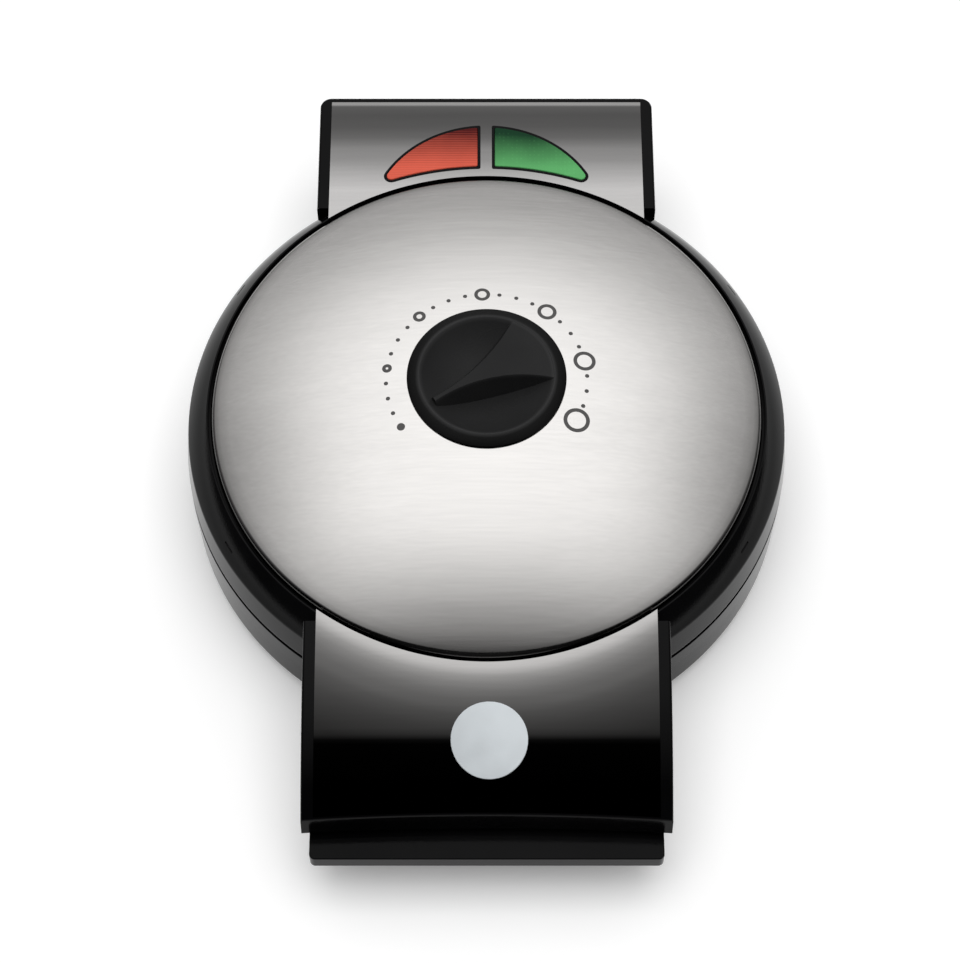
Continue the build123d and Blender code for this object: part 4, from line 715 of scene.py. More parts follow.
# ---- Lid ring ----
# The black inner frame of the lid, moulded in heat-proof plastic. It carries the upper plate by its flange,
# and six screws hold it up in the housing.
parting, ring_top, ring_outer, screw_circle = 37.6, 48.1, 124.4, 117.725
upper_flange = 2 * middle_z - flange_low
sixths = [math.radians(60 * n) for n in range(6)]
ring_screws = [(screw_circle * math.cos(turn), screw_circle * math.sin(turn)) for turn in sixths]
ring_section = [*arc((ring_outer - 0.5, parting + 0.5), 0.5, -90, 0, 3), (122.65, ring_top)]
ring_section += [(ledge_inner, ring_top), (ledge_inner, upper_flange), (frame_inner, upper_flange)]
ring_section += [*arc((frame_inner + 0.5, parting + 0.5), 0.5, 180, 270, 3)]
lid_ring = turned("lid_ring_shell", ring_section)
for x, y in ring_screws:
    cut(lid_ring, rod("ring_counterbore", (x, y, 36.0), (x, y, parting + 2.1), 3.1))
    cut(lid_ring, rod("ring_screw_way", (x, y, 36.0), (x, y, 50.0), 1.65, 24))
smooth(lid_ring)
put_on(lid_ring, casing_black, "lid", "lid_ring")


# ---- Lid housing ----
# The upper casing: one gloss black moulding with a rounded shoulder, the rear block with its hinge cheeks,
# and the hollow front handle. Recesses take the steel trims, and two windows take the lamp lenses.
shoulder, rim, groove, groove_floor = (126.2, 54.2), (117.8, 65.0), 117.0, 61.5
block_half, block_rear, block_top, block_corner = 74.0, 159.5, 66.2, 5.0
rail, rear_rail, recess, roof, skin = 5.0, 2.4, 1.0, 2.0, 2.8
root_y, root_z, handle_curve, handle_low = -88.0, 67.3, 195.0, 35.5
handle_front, handle_notch, handle_lean = -179.0, 2.0, 1.5
lens_outer_y, lens_outer, lens_inner, lens_flat, lens_tip, lens_corner = 92.7, 50.3, 122.2, 3.8, 2.0, 0.8
edge_round, ceiling, lobe_radius, pin_head_way, pin_seat = 1.3, 62.3, 9.0, 5.2, 72.44
slot_circle, slot_turn, slot_half_width, slot_half_length, slot_floor = 123.6, 30.5, 0.6, 3.0, 58.2


def block_outline(inset, level):
    """Plan of the rear block, moved inwards, at a height."""
    half, rear, corner = block_half - inset, block_rear - inset, block_corner - inset
    right = arc((half - corner, rear - corner), corner, 0, 90)
    left = arc((corner - half, rear - corner), corner, 90, 180)
    return [(x, y, level) for x, y in [(half, 100.0), *right, *left, (-half, 100.0)]]


def handle_top(y, depth=0.0):
    """Height of the front handle's curved top, or of a face that lies a depth below it."""
    return root_z - handle_curve + math.sqrt((handle_curve - depth) ** 2 - (y - root_y) ** 2)


def front_edge(x, inset=0.0):
    """Where the front handle's hollowed front edge lies at x."""
    notch_radius = (block_half**2 + handle_notch**2) / (2 * handle_notch)
    return handle_front + handle_notch + inset - notch_radius + math.sqrt(notch_radius**2 - x**2)


def handle_strip(name, half, circle, inset, top, bottom, low=None):
    """A block or sheet under the handle's curved top, between a circle round the body and the front edge."""
    rings = []
    for x in spread(-half, half, 48):
        back = -math.sqrt(circle**2 - x**2)
        run = spread(back, front_edge(x, inset), 24)
        over = [(x, y, handle_top(y, top)) for y in run]
        under = [(x, y, low if low is not None else handle_top(y, bottom)) for y in reversed(run)]
        rings.append(over + under)
    return lofted(name, rings)


def lens_outline(side, grow):
    """Plan of a lamp lens: a crescent between two arcs, cut straight beside the middle, with round corners."""
    outer, outer_radius, inner_radius = Vector((0, lens_outer_y)), lens_outer + grow, lens_inner - grow
    flat, tip, corner, origin = lens_flat - grow, lens_tip + grow, lens_corner, Vector((0, 0))
    tip_y = ((inner_radius + tip) ** 2 - (outer_radius - tip) ** 2 + outer.y**2) / (2 * outer.y)
    tip_centre = Vector((math.sqrt((inner_radius + tip) ** 2 - tip_y**2), tip_y))
    low_y = math.sqrt((inner_radius + corner) ** 2 - (flat + corner) ** 2)
    high_y = outer.y + math.sqrt((outer_radius - corner) ** 2 - (flat + corner) ** 2)
    low_centre, high_centre = Vector((flat + corner, low_y)), Vector((flat + corner, high_y))

    def heading(start, end):
        return math.degrees(math.atan2(end.y - start.y, end.x - start.x))

    low_turn, tip_in = heading(origin, low_centre), heading(origin, tip_centre)
    tip_out, high_turn = heading(outer, tip_centre), heading(outer, high_centre)
    path = arc(low_centre, corner, 180, 180 + low_turn, 4)
    path += arc(origin, inner_radius, low_turn, tip_in, 24)[1:-1]
    path += arc(tip_centre, tip, tip_in - 180, tip_out, 8)
    path += arc(outer, outer_radius, tip_out, high_turn, 28)[1:-1]
    path += arc(high_centre, corner, high_turn, 180, 4)
    return [(side * x, y) for x, y in path]


def lens_prism(name, side, levels):
    """A solid through lens outlines, given as (growth, height) from the bottom up."""
    return lofted(name, [[(x, y, level) for x, y in lens_outline(side, grow)] for grow, level in levels])


def rear_strip(name, inset, low, high):
    """A flat sheet or cutter on the rear block, between the round rim and the rails."""
    rings = []
    half = block_half - rail - inset
    for x in spread(-half, half, 64):
        back = math.sqrt((groove - 0.15 + 2 * inset) ** 2 - x**2)
        rear = block_rear - rear_rail - inset
        rings.append([(x, back, low), (x, rear, low), (x, rear, high), (x, back, high)])
    strip = lofted(name, rings)
    for side in (-1, 1):
        cut(strip, lens_prism("collar", side, ((1.15 + inset, low - 1), (1.15 + inset, high + 1))))
    return strip


lid_wall = [(124.7, parting), (126.2, parting), (126.4, 38.7), *arc((127.1, 39.2), 0.5, -90, 0, 4)]
lid_wall += [(127.66, 40.2), (126.3, 53.2), *bulge(shoulder, rim, 48.0)]
lid_wall += arc((groove + 0.35, rim[1] - 0.35), 0.35, 90, 180, 4)
lid_wall += [(groove, groove_floor), (112.0, groove_floor), (112.0, 58.7), (122.4, 51.4)]

block_levels = [block_outline(0.0, parting)]
for turn in reversed(quarter):
    inset, drop = edge_round * (1 - math.sin(turn)), edge_round * (1 - math.cos(turn))
    block_levels.append(block_outline(inset, block_top - drop))
housing = lofted("lid_housing_shell", block_levels)
half_stations = [-block_half + edge_round * (1 - math.cos(turn)) for turn in quarter]
half_stations += spread(-block_half + 2 * edge_round, 0, 20)
stations = half_stations + [-x for x in reversed(half_stations[:-1])]
rings = []
for x in stations:
    over = max(0.0, abs(x) - (block_half - edge_round))
    drop = edge_round - math.sqrt(max(0.0, edge_round**2 - over**2))
    front = front_edge(x, handle_lean)
    run = spread(-100.0, front + 1.0, 32)
    ring = [(x, y, handle_top(y, drop)) for y in run]
    nose = handle_top(front + 1.0, drop)
    ring += [(x, front + 1.0 + y, nose + z) for y, z in ((-0.5, -0.35), (-0.85, -0.8), (-1.0, -1.4))]
    foot = front - handle_lean
    ring += [(x, foot, handle_low + 0.4), (x, foot + 0.4, handle_low), (x, -100.0, handle_low)]
    rings.append(ring)
combine(housing, lofted("handle_block", rings), "UNION")
trim_half = block_half - rail
handle_room = handle_strip("handle_room", trim_half, 100.0, skin + handle_lean / 2, recess + roof, 0, low=20.0)
cut(housing, handle_room)
cut(housing, box_solid("block_room", (-trim_half, 80.0, 20.0), (trim_half, 157.0, ceiling)))
core = [(0, 20.0), (128.6, 20.0), (128.6, parting - 0.01), (124.7, parting), (122.4, 51.4), (112.0, 58.7)]
core += [(112.0, groove_floor), (groove, groove_floor), (groove, 90.0), (0, 90.0)]
cut(housing, turned("lid_core", core))
combine(housing, turned("lid_wall", lid_wall), "UNION")
cut(housing, rear_strip("rear_recess", 0, block_top - recess, block_top + 3))
front_recess = handle_strip("front_recess", trim_half, groove - 0.15, handle_lean + 0.9, -3.0, recess)
cut(housing, front_recess)
for side in (-1, 1):
    combine(housing, hinge_rod(side, trim_half, block_half, lobe_radius, 96), "UNION")
    cut(housing, hinge_rod(side, 0.9 * trim_half, 80.0, pin_way))
    cut(housing, hinge_rod(side, pin_seat, 80.0, pin_head_way))
    cut(housing, lens_prism("window", side, ((0.15, 55.0), (0.15, 70.0))))
    for turn in (math.radians(slot_turn), math.radians(-slot_turn)):
        middle = Vector((side * slot_circle * math.cos(turn), slot_circle * math.sin(turn)))
        out = middle.normalized() * slot_half_width
        round_way = Vector((-math.sin(turn), side * math.cos(turn))) * slot_half_length
        plan = [middle + out * a + round_way * b for a, b in ((-1, -1), (1, -1), (1, 1), (-1, 1))]
        cut(housing, lofted("slot", [[(p.x, p.y, z) for p in plan] for z in (slot_floor, 75.0)]))
smooth(housing)
put_on(housing, casing_black, "lid", "lid_housing")


# ---- Upper handle cover ----
# A satin black moulding that closes the front handle from below. It lies inside the handle's walls, with a
# hole for each of the two screws that hold it up.
cover_half, cover_circle, under, over = 68.7, 128.6, 35.9, 37.9
cover_screws = [(x, -150.0) for x in (-46, 46)]
rings = []
for x in spread(-cover_half, cover_half, 48):
    back, front = -math.sqrt(cover_circle**2 - x**2), front_edge(x, skin + cover_gap)
    rings.append([(x, back, under), (x, front, under), (x, front, over), (x, back, over)])
upper_cover = lofted("upper_cover", rings)
for x, y in cover_screws:
    cut(upper_cover, rod("cover_screw_way", (x, y, 35.0), (x, y, 39.0), 1.65, 24))
smooth(upper_cover)
put_on(upper_cover, cover_black, "lid", "upper_handle_cover")


# ---- Lamps and lenses ----
# Two neon lamps lie in a tray under the rear block. Over them sit a red and a green lens, moulded in
# coloured acrylic, ribbed or pebbled on the inside so that they glow evenly. A flange under each stops it in
# its window, and a raised collar of the housing frames it in black.
tray_white = moulded("tray_white", (0.62, 0.61, 0.58), 0.4)
neon_glass = moulded("neon_glass", (0.75, 0.5, 0.42), 0.08)
painted(tray_white, "lamp_holder")
painted(neon_glass, "power_lamp", "ready_lamp")


def acrylic(name, deep, bright, ribs):
    """Coloured acrylic with painted light: painted shade at the back and painted light towards the front, with
    ribs or pebbles showing through.
    """
    finish = finish_named(name)
    spot = node(finish, "ShaderNodeTexCoord").outputs["Object"]
    parts = node(finish, "ShaderNodeSeparateXYZ", {"Vector": spot})
    # Painted light: the colour brightens from the rear of the lens towards its front.
    rear, front = (142.0 + axis_y) * mm, (121.0 + axis_y) * mm
    reach = node(
        finish, "ShaderNodeMapRange", {"Value": parts.outputs["Y"], "From Min": rear, "From Max": front}
    )
    cloud = noise(finish, spot, 70.0, 2.0)
    mixed = node(finish, "ShaderNodeMath", {0: cloud, 1: 0.25, 2: reach.outputs[0]}, operation="MULTIPLY_ADD")
    if ribs:
        rib = {"Vector": spot, "Scale": 250.0, "Distortion": 0.4, "Detail": 1.0}
        pattern = node(finish, "ShaderNodeTexWave", rib, bands_direction="Y").outputs["Fac"]
    else:
        pebble = node(finish, "ShaderNodeTexVoronoi", {"Vector": spot, "Scale": 520.0, "Randomness": 0.12})
        pattern = ramp(finish, pebble.outputs["Distance"], [(0.12, 1.0), (0.45, 0.0)])
    body = node(finish, "ShaderNodeMath", {0: pattern, 1: 0.2, 2: mixed.outputs[0]}, operation="MULTIPLY_ADD")
    body = sum_of(finish, body.outputs[0], 0.2, "SUBTRACT")
    middle = tuple((a + b) / 2 for a, b in zip(deep, bright))
    fill(finish, {
        "Base Color": ramp(finish, body, [(0.05, deep), (0.55, middle), (1.0, bright)]),
        "Normal": relief(finish, pattern, 0.12, 0.0003),
        "Roughness": 0.12, "Specular IOR Level": 0.06, "Coat Weight": 0.08, "Coat Roughness": 0.04,
    })
    return finish


lens_top, lens_round, lens_foot = 66.7, 0.45, 1.6
red_acrylic = acrylic("red_acrylic", (0.07, 0.003, 0.003), (0.7, 0.115, 0.07), True)
green_acrylic = acrylic("green_acrylic", (0.002, 0.035, 0.012), (0.12, 0.45, 0.15), False)
for side, name, finish in ((-1, "red_lens", red_acrylic), (1, "green_lens", green_acrylic)):
    levels = [(lens_foot, ceiling - 1.5), (lens_foot, ceiling), (0.0, ceiling + 0.01)]
    for turn in spread(0, math.pi / 2, 5):
        levels.append((-lens_round * (1 - math.cos(turn)), lens_top - lens_round * (1 - math.sin(turn))))
    lens = lens_prism(name + "_shell", side, levels)
    smooth(lens, 40)
    put_on(lens, finish, "lid", name)


# ---- Rear trim plate ----
# A brushed stainless sheet let into the top of the rear block. It lies flush between the block's rails, and
# is cut out round the two lenses.
# Painted reflection in the rear sheet's colour: it darkens towards the rear of the block, with a painted
# highlight strip along the rear edge.
rear_painted_reflection = [
    (110, 1.0), (119.5, 0.71), (125.7, 0.5), (131.6, 0.43), (137.6, 0.24), (143.6, 0.17), (150.0, 0.15)
]
rear_painted_reflection += [(154.6, 0.19), (155.6, 0.56), (156.8, 0.56), (157.7, 0.2)]


def painted_shading(finish, tone, stops, from_axis=False):
    """Painted shade and painted highlights: a tone darkened through (place, share) stops along Y, or outwards
    from the body's axis, a higher share standing for more light.
    """
    spot = node(finish, "ShaderNodeSeparateXYZ", {"Vector": place_on(finish)}).outputs
    along = sum_of(finish, spot["Y"], axis_y * mm, "SUBTRACT")
    if from_axis:
        flat = node(finish, "ShaderNodeCombineXYZ", {"X": spot["X"], "Y": along}).outputs[0]
        along = node(finish, "ShaderNodeVectorMath", {0: flat}, operation="LENGTH").outputs["Value"]
    start, end = stops[0][0], stops[-1][0]
    reach = {"Value": along, "From Min": start * mm, "From Max": end * mm}
    reach = node(finish, "ShaderNodeMapRange", reach).outputs[0]
    shade = ramp(finish, reach, [((place - start) / (end - start), (share,) * 3) for place, share in stops])
    darkened = node(
        finish, "ShaderNodeMix", {0: 1.0, 6: tone, 7: shade}, data_type="RGBA", blend_type="MULTIPLY"
    )
    return darkened.outputs[2]


def brushed(name, colour, gloss, along, painted_shades, strength=0.75, depth=0.03):
    """Brushed sheet: fine lines along one axis, a stretched highlight, a faint smudge, and painted reflections
    that darken its tone through stops.
    """
    finish = finish_named(name)
    fine = noise(finish, place_on(finish, along), 900.0, 3.0)
    broad = noise(finish, place_on(finish, along), 160.0, 4.0)
    smudge = noise(finish, place_on(finish), 14.0, 4.0)
    lines = sum_of(finish, sum_of(finish, fine, broad), 0.5, "MULTIPLY")
    dark, light = tuple(value * 0.95 for value in colour), tuple(value * 1.05 for value in colour)
    tone = ramp(finish, lines, [(0.3, dark), (0.7, light)])
    # Painted reflection: the tone is darkened by painted shade through each set of stops.
    for stops, from_axis in painted_shades:
        tone = painted_shading(finish, tone, stops, from_axis)
    blend = node(finish, "ShaderNodeMath", {0: smudge, 1: 0.5, 2: lines}, operation="MULTIPLY_ADD")
    fill(finish, {
        "Base Color": tone,
        "Roughness": ramp(finish, blend.outputs[0], [(0.4, gloss * 0.85), (1.0, gloss * 1.2)]),
        "Normal": relief(finish, fine, depth, 0.0001),
        "Metallic": 1.0,
        "Anisotropic": strength,
        "Tangent": node(finish, "ShaderNodeTangent", direction_type="UV_MAP", uv_map="brushing").outputs[0],
    })
    return finish


def brushing_map(obj):
    """A UV map whose U runs from front to rear, so that highlights stretch that way, across the lines."""
    layer = obj.data.uv_layers.new(name="brushing")
    for loop in obj.data.loops:
        place = obj.data.vertices[loop.vertex_index].co
        layer.data[loop.index].uv = (place.y, place.x)


rear_steel = brushed("rear_steel", (0.46, 0.452, 0.447), 0.2, (0.05, 1, 1), [(rear_painted_reflection, False)])
rear_trim = rear_strip("rear_trim_sheet", 0.15, block_top - recess, block_top - recess + 0.9)
smooth(rear_trim)
brushing_map(rear_trim)
put_on(rear_trim, rear_steel, "lid", "rear_trim_plate")


# ---- Front trim plate and badge ----
# A glossy sheet, finely brushed, curved over the front handle and let into its recess. Its dark look is
# painted reflection: its colour darkens outwards from the dome and towards its front edge. A plain pale
# round inlay is let into the sheet in turn.
# Painted reflection on the front sheet: darker outwards from the dome, and painted shade towards its front
# edge.
outward_painted_reflection = [
    (118.0, 1.0), (119.5, 0.94), (121.0, 0.8), (123.0, 0.58), (126.0, 0.41), (129.5, 0.3), (132.5, 0.24)
]
outward_painted_reflection += [(135.5, 0.215), (138.5, 0.165), (141.5, 0.14), (144.5, 0.117), (150.0, 0.095), (158.0, 0.07)]
front_edge_painted_shade = [(-143.4, 1.0), (-145.8, 0.75), (-147.9, 0.12), (-149.6, 0.02)]
sheet_painted_light = [(outward_painted_reflection, True), (front_edge_painted_shade, False)]
front_steel = brushed(
    "front_steel", (0.42, 0.412, 0.405), 0.06, (0.05, 1, 1), sheet_painted_light, strength=0.3, depth=0.02
)
front_trim = handle_strip("front_trim_sheet", trim_half - 0.15, groove + 0.15, handle_lean + 1.05, 0.1, recess)
smooth(front_trim)
brushing_map(front_trim)
put_on(front_trim, front_steel, "lid", "front_trim_plate")

badge_x, badge_y, badge_radius, badge_base, badge_face = 1.0, -148.0, 15.4, 0.1, -0.4
badge_slope = math.asin((root_y - badge_y) / handle_curve)
badge_stages = [(badge_base, 0.0), (badge_base, badge_radius), (badge_face + 0.12, badge_radius)]
badge_stages += [(badge_face, badge_radius - 0.15)]
badge_stages += [(badge_face, badge_radius * share) for share in (0.85, 0.6, 0.3, 0.0)]
points, rows, badge_steps = [], [], 96
for level, radius in badge_stages:
    count = badge_steps if radius else 1
    rows.append([len(points) + index % count for index in range(badge_steps)])
    for turn in spread(0, math.tau, badge_steps)[:count]:
        x, y = badge_x + radius * math.cos(turn), badge_y + radius * math.sin(turn) * math.cos(badge_slope)
        points.append((x, y, handle_top(y, level)))
badge = solid("badge_inlay", points, faces_between(rows))
badge_grey = moulded("badge_grey", (0.6, 0.64, 0.665), 0.3)
smooth(badge)
put_on(badge, badge_grey, "lid", "badge_disc")


# ---- Dome cover ----
# Pressed stainless steel, brushed from side to side, with a round hole for the knob. Its rolled edge drops
# into the housing's groove and rests on the groove's floor.
dome_edge, dome_base, dome_rise, dome_hole, dome_roll, sheet_thick = 116.0, 65.9, 25.6, 30.0, 3.6, 0.8
dome_sphere = (dome_edge**2 + dome_rise**2) / (2 * dome_rise)


def dome_z(radius, depth=0.0):
    """Height of the dome's outer face, or of a face a depth below it, at a distance from the axis."""
    return dome_base + dome_rise - dome_sphere + math.sqrt((dome_sphere - depth) ** 2 - radius**2)


def dome_section(depth):
    """The sheet's face from the hole out and over the roll to the skirt, a depth below the outer face."""
    roll, edge = dome_roll - depth, dome_edge - depth
    centre = edge - roll
    low = dome_base + dome_rise - dome_sphere
    centre_z = low + math.sqrt((dome_sphere - depth - roll) ** 2 - centre**2)
    meet = math.degrees(math.atan2(centre_z - low, centre))
    meet_radius = centre + roll * math.cos(math.radians(meet))
    crown = [(radius, dome_z(radius, depth)) for radius in spread(dome_hole + 0.3, meet_radius, 44)[:-1]]
    return crown + arc((centre, centre_z), roll, meet, 0, 14)


outer, inner = dome_section(0.0), dome_section(sheet_thick)
skirt = [(dome_edge, groove_floor + 0.4), (dome_edge - 0.25, groove_floor)]
skirt += [(dome_edge - 0.55, groove_floor), (dome_edge - sheet_thick, groove_floor + 0.4)]
lip_in = [(dome_hole, dome_z(dome_hole, 0.5)), (dome_hole, dome_z(dome_hole, 0.25))]
dome = turned("dome_sheet", [*outer, *skirt, *reversed(inner), *lip_in], 360)
smooth(dome, 40)
brushing_map(dome)
# Painted shade on the dome's rolled edge: the steel's colour darkens from 108 mm out to the rim.
dome_rim_painted_shade = [(108.0, 1.0), (112.0, 0.85), (114.0, 0.6), (115.0, 0.1), (116.0, 0.04)]
dome_steel = brushed("dome_steel", (0.72, 0.705, 0.69), 0.15, (0.04, 1, 1), [(dome_rim_painted_shade, True)], strength=0.45)
put_on(dome, dome_steel, "lid", "dome_cover")


# ---- Dial marks ----
# Setting marks printed on the dome in dark grey ink: a dot and six growing rings, with three small dots
# between each and the next.
ink_depth = 0.03
mark_sizes = {"Sphere": dome_sphere, "Crown": dome_base + dome_rise + 0.02}
mark_tree, inside, outside = new_tree("mark_tree", mark_sizes)
size = inside.outputs
ring_size = node(mark_tree, "GeometryNodeInputNamedAttribute", {"Name": "ring"}, data_type="FLOAT").outputs[0]
stroke = node(mark_tree, "GeometryNodeInputNamedAttribute", {"Name": "stroke"}, data_type="FLOAT").outputs[0]
circle = node(mark_tree, "GeometryNodeCurvePrimitiveCircle", {"Resolution": 40, "Radius": 1.0}).outputs[0]
spots = node(mark_tree, "GeometryNodeMeshToPoints", {"Mesh": size["Geometry"]}).outputs[0]
copies = {"Points": spots, "Instance": circle, "Scale": ring_size}
copies = node(mark_tree, "GeometryNodeInstanceOnPoints", copies).outputs[0]
lines = node(mark_tree, "GeometryNodeRealizeInstances", {"Geometry": copies}).outputs[0]
thick = node(mark_tree, "GeometryNodeSetCurveRadius", {"Curve": lines, "Radius": stroke}).outputs[0]
bar = node(mark_tree, "GeometryNodeCurvePrimitiveLine", {"Start": (-0.5, 0, 0), "End": (0.5, 0, 0)}).outputs[0]
ink = node(mark_tree, "GeometryNodeCurveToMesh", {"Curve": thick, "Profile Curve": bar})
if "Scale" in ink.inputs:
    mark_tree.links.new(stroke, ink.inputs["Scale"])
ink = node(mark_tree, "GeometryNodeMergeByDistance", {"Geometry": ink.outputs[0], "Distance": 2e-6}).outputs[0]
where = node(
    mark_tree, "ShaderNodeSeparateXYZ", {0: node(mark_tree, "GeometryNodeInputPosition").outputs[0]}
).outputs
from_axis = sum_of(mark_tree, where[1], axis_y * mm, "SUBTRACT")
square = sum_of(
    mark_tree, sum_of(mark_tree, where[0], 2.0, "POWER"), sum_of(mark_tree, from_axis, 2.0, "POWER")
)
rest = sum_of(mark_tree, sum_of(mark_tree, size["Sphere"], 2.0, "POWER"), square, "SUBTRACT")
drop = sum_of(mark_tree, size["Sphere"], sum_of(mark_tree, rest, 0.5, "POWER"), "SUBTRACT")
height = sum_of(mark_tree, size["Crown"], drop, "SUBTRACT")
placed = node(mark_tree, "ShaderNodeCombineXYZ", {0: where[0], 1: where[1], 2: height}).outputs[0]
ink = node(mark_tree, "GeometryNodeSetPosition", {"Geometry": ink, "Position": placed}).outputs[0]
painted_ink = {"Geometry": ink, "Material": size["Finish"]}
mark_tree.links.new(node(mark_tree, "GeometryNodeSetMaterial", painted_ink).outputs[0], outside.inputs[0])

mark_circle, first_mark, mark_step, dot = 41.6, 212.5, 10.0, 1.8
main_marks = {
    0: (3.4, 0), 4: (4.1, 1.5), 8: (5.4, 1.5), 12: (6.7, 1.5), 16: (8.1, 1.55), 20: (9.3, 1.55), 24: (10.9, 1.6)
}
marks_mesh = bpy.data.meshes.new("dial_marks")
mark_places, rings_of, strokes = [], [], []
for index in range(25):
    across_mark, line_width = main_marks.get(index, (dot, 0))
    line_width = line_width or across_mark / 2
    turn = math.radians(first_mark - mark_step * index)
    x, y = mark_circle * math.cos(turn), mark_circle * math.sin(turn) + axis_y
    mark_places.append((x * mm, y * mm, 0.09))
    rings_of.append((across_mark - line_width) / 2 * mm)
    strokes.append(line_width * mm)
marks_mesh.from_pydata(mark_places, [], [])
for name, values in (("ring", rings_of), ("stroke", strokes)):
    marks_mesh.attributes.new(name, "FLOAT", "POINT").data.foreach_set("value", values)
marks = as_object("dial_marks", marks_mesh)
ink_grey = moulded("ink_grey", (0.058, 0.056, 0.055), 0.5, peel=0.1)
run_tree(marks, mark_tree, mark_sizes, ink_grey)
print_skin = marks.modifiers.new("print_skin", "SOLIDIFY")
print_skin.thickness = ink_depth * mm
print_skin.offset = -1.0
bake(marks)
smooth(marks, 60)
put_on(marks, ink_grey, "lid")


# ---- Thermostat and knob ----
# The thermostat sits on the upper plate's back, and its steel shaft carries the knob: a satin black moulding
# with a flange over the dome's hole, a dished face, and a tapering finger bar standing across it. A sprung
# ring tightens it on the shaft.
spring_steel = metal("spring_steel", (0.42, 0.42, 0.43), 0.3)
painted(zinc_sheet, "thermostat_bracket", "upper_reflector", "upper_clamps")
painted(porcelain, "thermostat_body")
painted(turned_steel, "thermostat_shaft")
painted(spring_steel, "knob_clip")
painted(lead_red, "lid_leads")
flange_r, face_r, body_r, dish_depth, knob_depth, boss_r, shaft_r = 33.0, 28.0, 28.5, 9.5, 12.7, 6.5, 3.06
pointer_turn, draft, crest = 210.0, 24.0, 0.7
knob_base = dome_z(dome_hole) + 0.35
knob_top = knob_base + 0.4 + 2.1
dish_low, knob_low = knob_top - dish_depth, knob_top - knob_depth
dish_sphere = (face_r**2 + dish_depth**2) / (2 * dish_depth)


def dish_z(radius):
    """Height of the knob's dished face at a distance from its axis."""
    return dish_low + dish_sphere - math.sqrt(dish_sphere**2 - radius**2)


def through(first, middle, last):
    """Points on the arc through three points."""
    ax, ay, bx, by, cx, cy = *first, *middle, *last
    d = 2 * (ax * (by - cy) + bx * (cy - ay) + cx * (ay - by))
    ux = ((ax**2 + ay**2) * (by - cy) + (bx**2 + by**2) * (cy - ay) + (cx**2 + cy**2) * (ay - by)) / d
    uy = ((ax**2 + ay**2) * (cx - bx) + (bx**2 + by**2) * (ax - cx) + (cx**2 + cy**2) * (bx - ax)) / d
    radius = math.hypot(ax - ux, ay - uy)
    start, middle_turn, end = (math.atan2(y - uy, x - ux) for x, y in (first, middle, last))
    if (end - start) % math.tau < (middle_turn - start) % math.tau:
        sweep = -((start - end) % math.tau)
    else:
        sweep = (end - start) % math.tau
    turns = spread(start, start + sweep, 24)
    return [(ux + radius * math.cos(turn), uy + radius * math.sin(turn)) for turn in turns]


knob_profile = [(radius, dish_z(radius)) for radius in spread(0.0, face_r - 1.2, 30)]
knob_profile += [(face_r - 0.6, dish_z(face_r - 1.2) + 0.42)]
knob_profile += [(face_r - 0.15, knob_top - 0.08), (face_r + 0.35, knob_top)]
knob_profile += [(flange_r - 0.3, knob_base + 0.55), (flange_r, knob_base + 0.35), (flange_r, knob_base + 0.1)]
knob_profile += [(flange_r - 0.1, knob_base), (body_r, knob_base), (body_r, knob_low), (boss_r, knob_low)]
knob_profile += [(boss_r, knob_low - 8.0), (shaft_r, knob_low - 8.0), (shaft_r, dish_low - 1.5)]
knob_profile += [(0.0, dish_low - 1.5)]
knob = turned("knob_body", knob_profile)
far_line, near_line = ((-24.5, 1.7), (-4.1, 4.9), (28.0, 21.6)), ((28.0, -20.4), (0.0, -2.3), (-24.5, -0.6))
u_way = Vector((-math.cos(math.radians(pointer_turn)), -math.sin(math.radians(pointer_turn))))
v_way = Vector((-u_way.y, u_way.x))
rings = []
for drop in (0.0, 0.08, 0.3, 0.7, 1.5, 3.0, 5.0, 7.5, dish_depth + 0.4):
    eased = drop * math.tan(math.radians(draft))
    if drop < crest:
        eased -= 0.6 * crest * (1 - drop / crest) ** 2
    far = through(*[(u, v + eased) for u, v in far_line])
    near = through(*[(u, v - eased) for u, v in near_line])
    rings.append([(*(u_way * u + v_way * v), knob_top - drop) for u, v in far + near])
bar_form = lofted("finger_bar", rings)
bounds = [(0, dish_low - 1.0), (face_r - 0.3, dish_low - 1.0), (face_r - 0.3, 95.0), (0, 95.0)]
combine(bar_form, turned("bar_bounds", bounds), "INTERSECT")
combine(knob, bar_form, "UNION")
smooth(knob, 34)
knob_satin = moulded("knob_satin", (0.027, 0.027, 0.0275), 0.28, peel=0.12, grain=1500.0)
tone = knob_satin.node_tree.nodes["Principled BSDF"].inputs["Base Color"].links[0].from_socket
# Painted light on the knob: painted shade over the dish, a painted highlight on the ridge round it, and deep
# painted shade down the flange.
knob_painted_light = [(0.0, 0.6), (face_r - 1.6, 0.6), (face_r - 0.4, 1.0), (face_r + 0.4, 0.9)]
knob_painted_light += [(face_r + 1.6, 0.2), (flange_r, 0.08)]
tone = painted_shading(knob_satin, tone, knob_painted_light, from_axis=True)
fill(knob_satin, {"Specular IOR Level": 0.1, "Base Color": tone})
put_on(knob, knob_satin, "dial", "thermostat_knob")


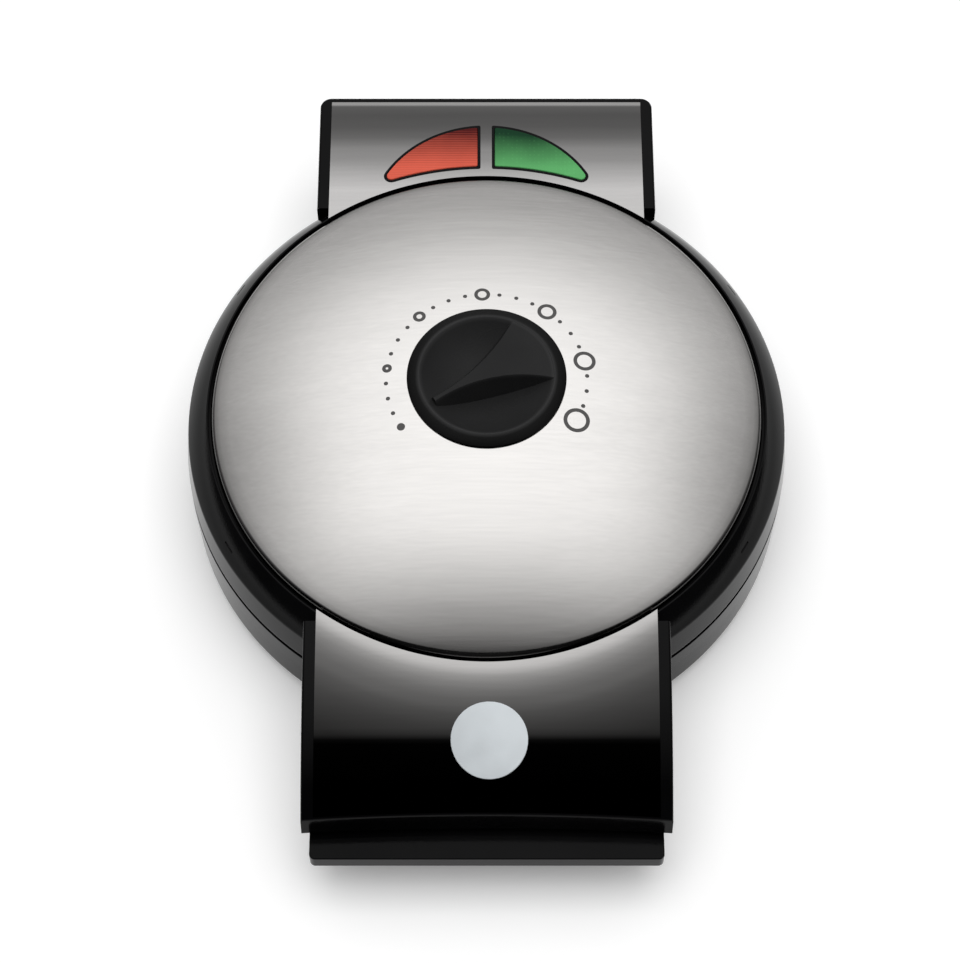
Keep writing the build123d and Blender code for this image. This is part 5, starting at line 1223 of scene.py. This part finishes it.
# ---- Screws ----
# Zinc-plated steel screws with chamfered heads and pressed cross recesses. They hold the casings, the plates,
# the clamps and the lamp tray, and each set of like screws is one piece.
screw_sizes = {"Head radius": 2.8, "Head height": 1.8, "Shank radius": 1.5, "Shank length": 8.0}
screw_tree, inside, outside = new_tree("screw_tree", screw_sizes)
size = inside.outputs
edge = sum_of(screw_tree, size["Head height"], 0.3, "MULTIPLY")
full = sum_of(screw_tree, size["Head height"], edge, "SUBTRACT")
crown = sum_of(screw_tree, size["Head radius"], 0.82, "MULTIPLY")
point = sum_of(screw_tree, size["Shank radius"], 0.6, "MULTIPLY")
taper = sum_of(screw_tree, size["Shank radius"], 0.8, "MULTIPLY")
straight = sum_of(screw_tree, size["Shank length"], taper, "SUBTRACT")
form = stacked_form(screw_tree, crown, [
    (edge, size["Head radius"]), (full, size["Head radius"]), (0.0, size["Shank radius"]),
    (straight, size["Shank radius"]), (taper, point),
], 32)
wing = sum_of(screw_tree, size["Head radius"], 1.15, "MULTIPLY")
web = sum_of(screw_tree, size["Head radius"], 0.26, "MULTIPLY")
deep = sum_of(screw_tree, size["Head height"], 1.2, "MULTIPLY")
for first, second in ((wing, web), (web, wing)):
    block_size = node(screw_tree, "ShaderNodeCombineXYZ", {0: first, 1: second, 2: deep}).outputs[0]
    recess_block = node(screw_tree, "GeometryNodeMeshCube", {"Size": block_size}).outputs[0]
    cutter = node(screw_tree, "GeometryNodeMeshBoolean", operation="DIFFERENCE", solver="EXACT")
    screw_tree.links.new(form, cutter.inputs["Mesh 1"])
    screw_tree.links.new(recess_block, cutter.inputs["Mesh 2"])
    form = cutter.outputs["Mesh"]
set_out(screw_tree, inside, outside, form)
zinc = metal("zinc_plate", (0.66, 0.67, 0.66), 0.3, scratch=300.0)


def ring_places(radius, count, first, level):
    """Places evenly round the body's axis."""
    turns = (math.radians(first + 360 * index / count) for index in range(count))
    return [(radius * math.cos(turn), radius * math.sin(turn), level) for turn in turns]


def screw_set(name, places, body, sizes, mirrored=False):
    """One set of screws, pointing up, or mirrored to point down."""
    made = repeated(name + "_set", screw_tree, places, {**screw_sizes, **sizes}, zinc)
    if mirrored:
        for vertex in made.data.vertices:
            vertex.co.z = 2 * middle_z * mm - vertex.co.z
        made.data.flip_normals()
    smooth(made, 30)
    put_on(made, zinc, body, name)


casing = {"Head radius": 3.4, "Head height": 2.2, "Shank radius": 1.8, "Shank length": 21.7}
screw_set("base_screws", [(x, y, 9.8) for x, y in posts], "base", casing)
clamp_circle, flange_circle = 59.55, 109.5
clamp_spots, flange_spots = ring_places(clamp_circle, 3, -90, 24.15), ring_places(flange_circle, 4, 45, 23.4)
screw_set("lower_clamp_screws", clamp_spots, "base", {"Shank length": 7.2})
screw_set("lower_plate_screws", flange_spots, "base", {"Shank length": 6.2})
screw_set("fuse_clip_screw", [(6.8, 38.0, 24.85)], "base", {"Shank length": 6.5})
screw_set("upper_clamp_screws", clamp_spots, "lid", {"Shank length": 7.2}, mirrored=True)
screw_set("upper_plate_screws", flange_spots, "lid", {"Shank length": 6.2}, mirrored=True)
screw_set("lid_ring_screws", [(x, y, 37.9) for x, y in ring_screws], "lid", {"Shank length": 14.1})
screw_set("lamp_screws", [(x, 137.5, 53.0) for x in (-48, 48)], "lid", {"Shank length": 6.7})
screw_set("upper_handle_screws", [(x, y, 34.1) for x, y in cover_screws], "lid", {"Shank length": 7.7})


# ---- Sizes ---- The box round the pieces that render, in metres.
low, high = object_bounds()
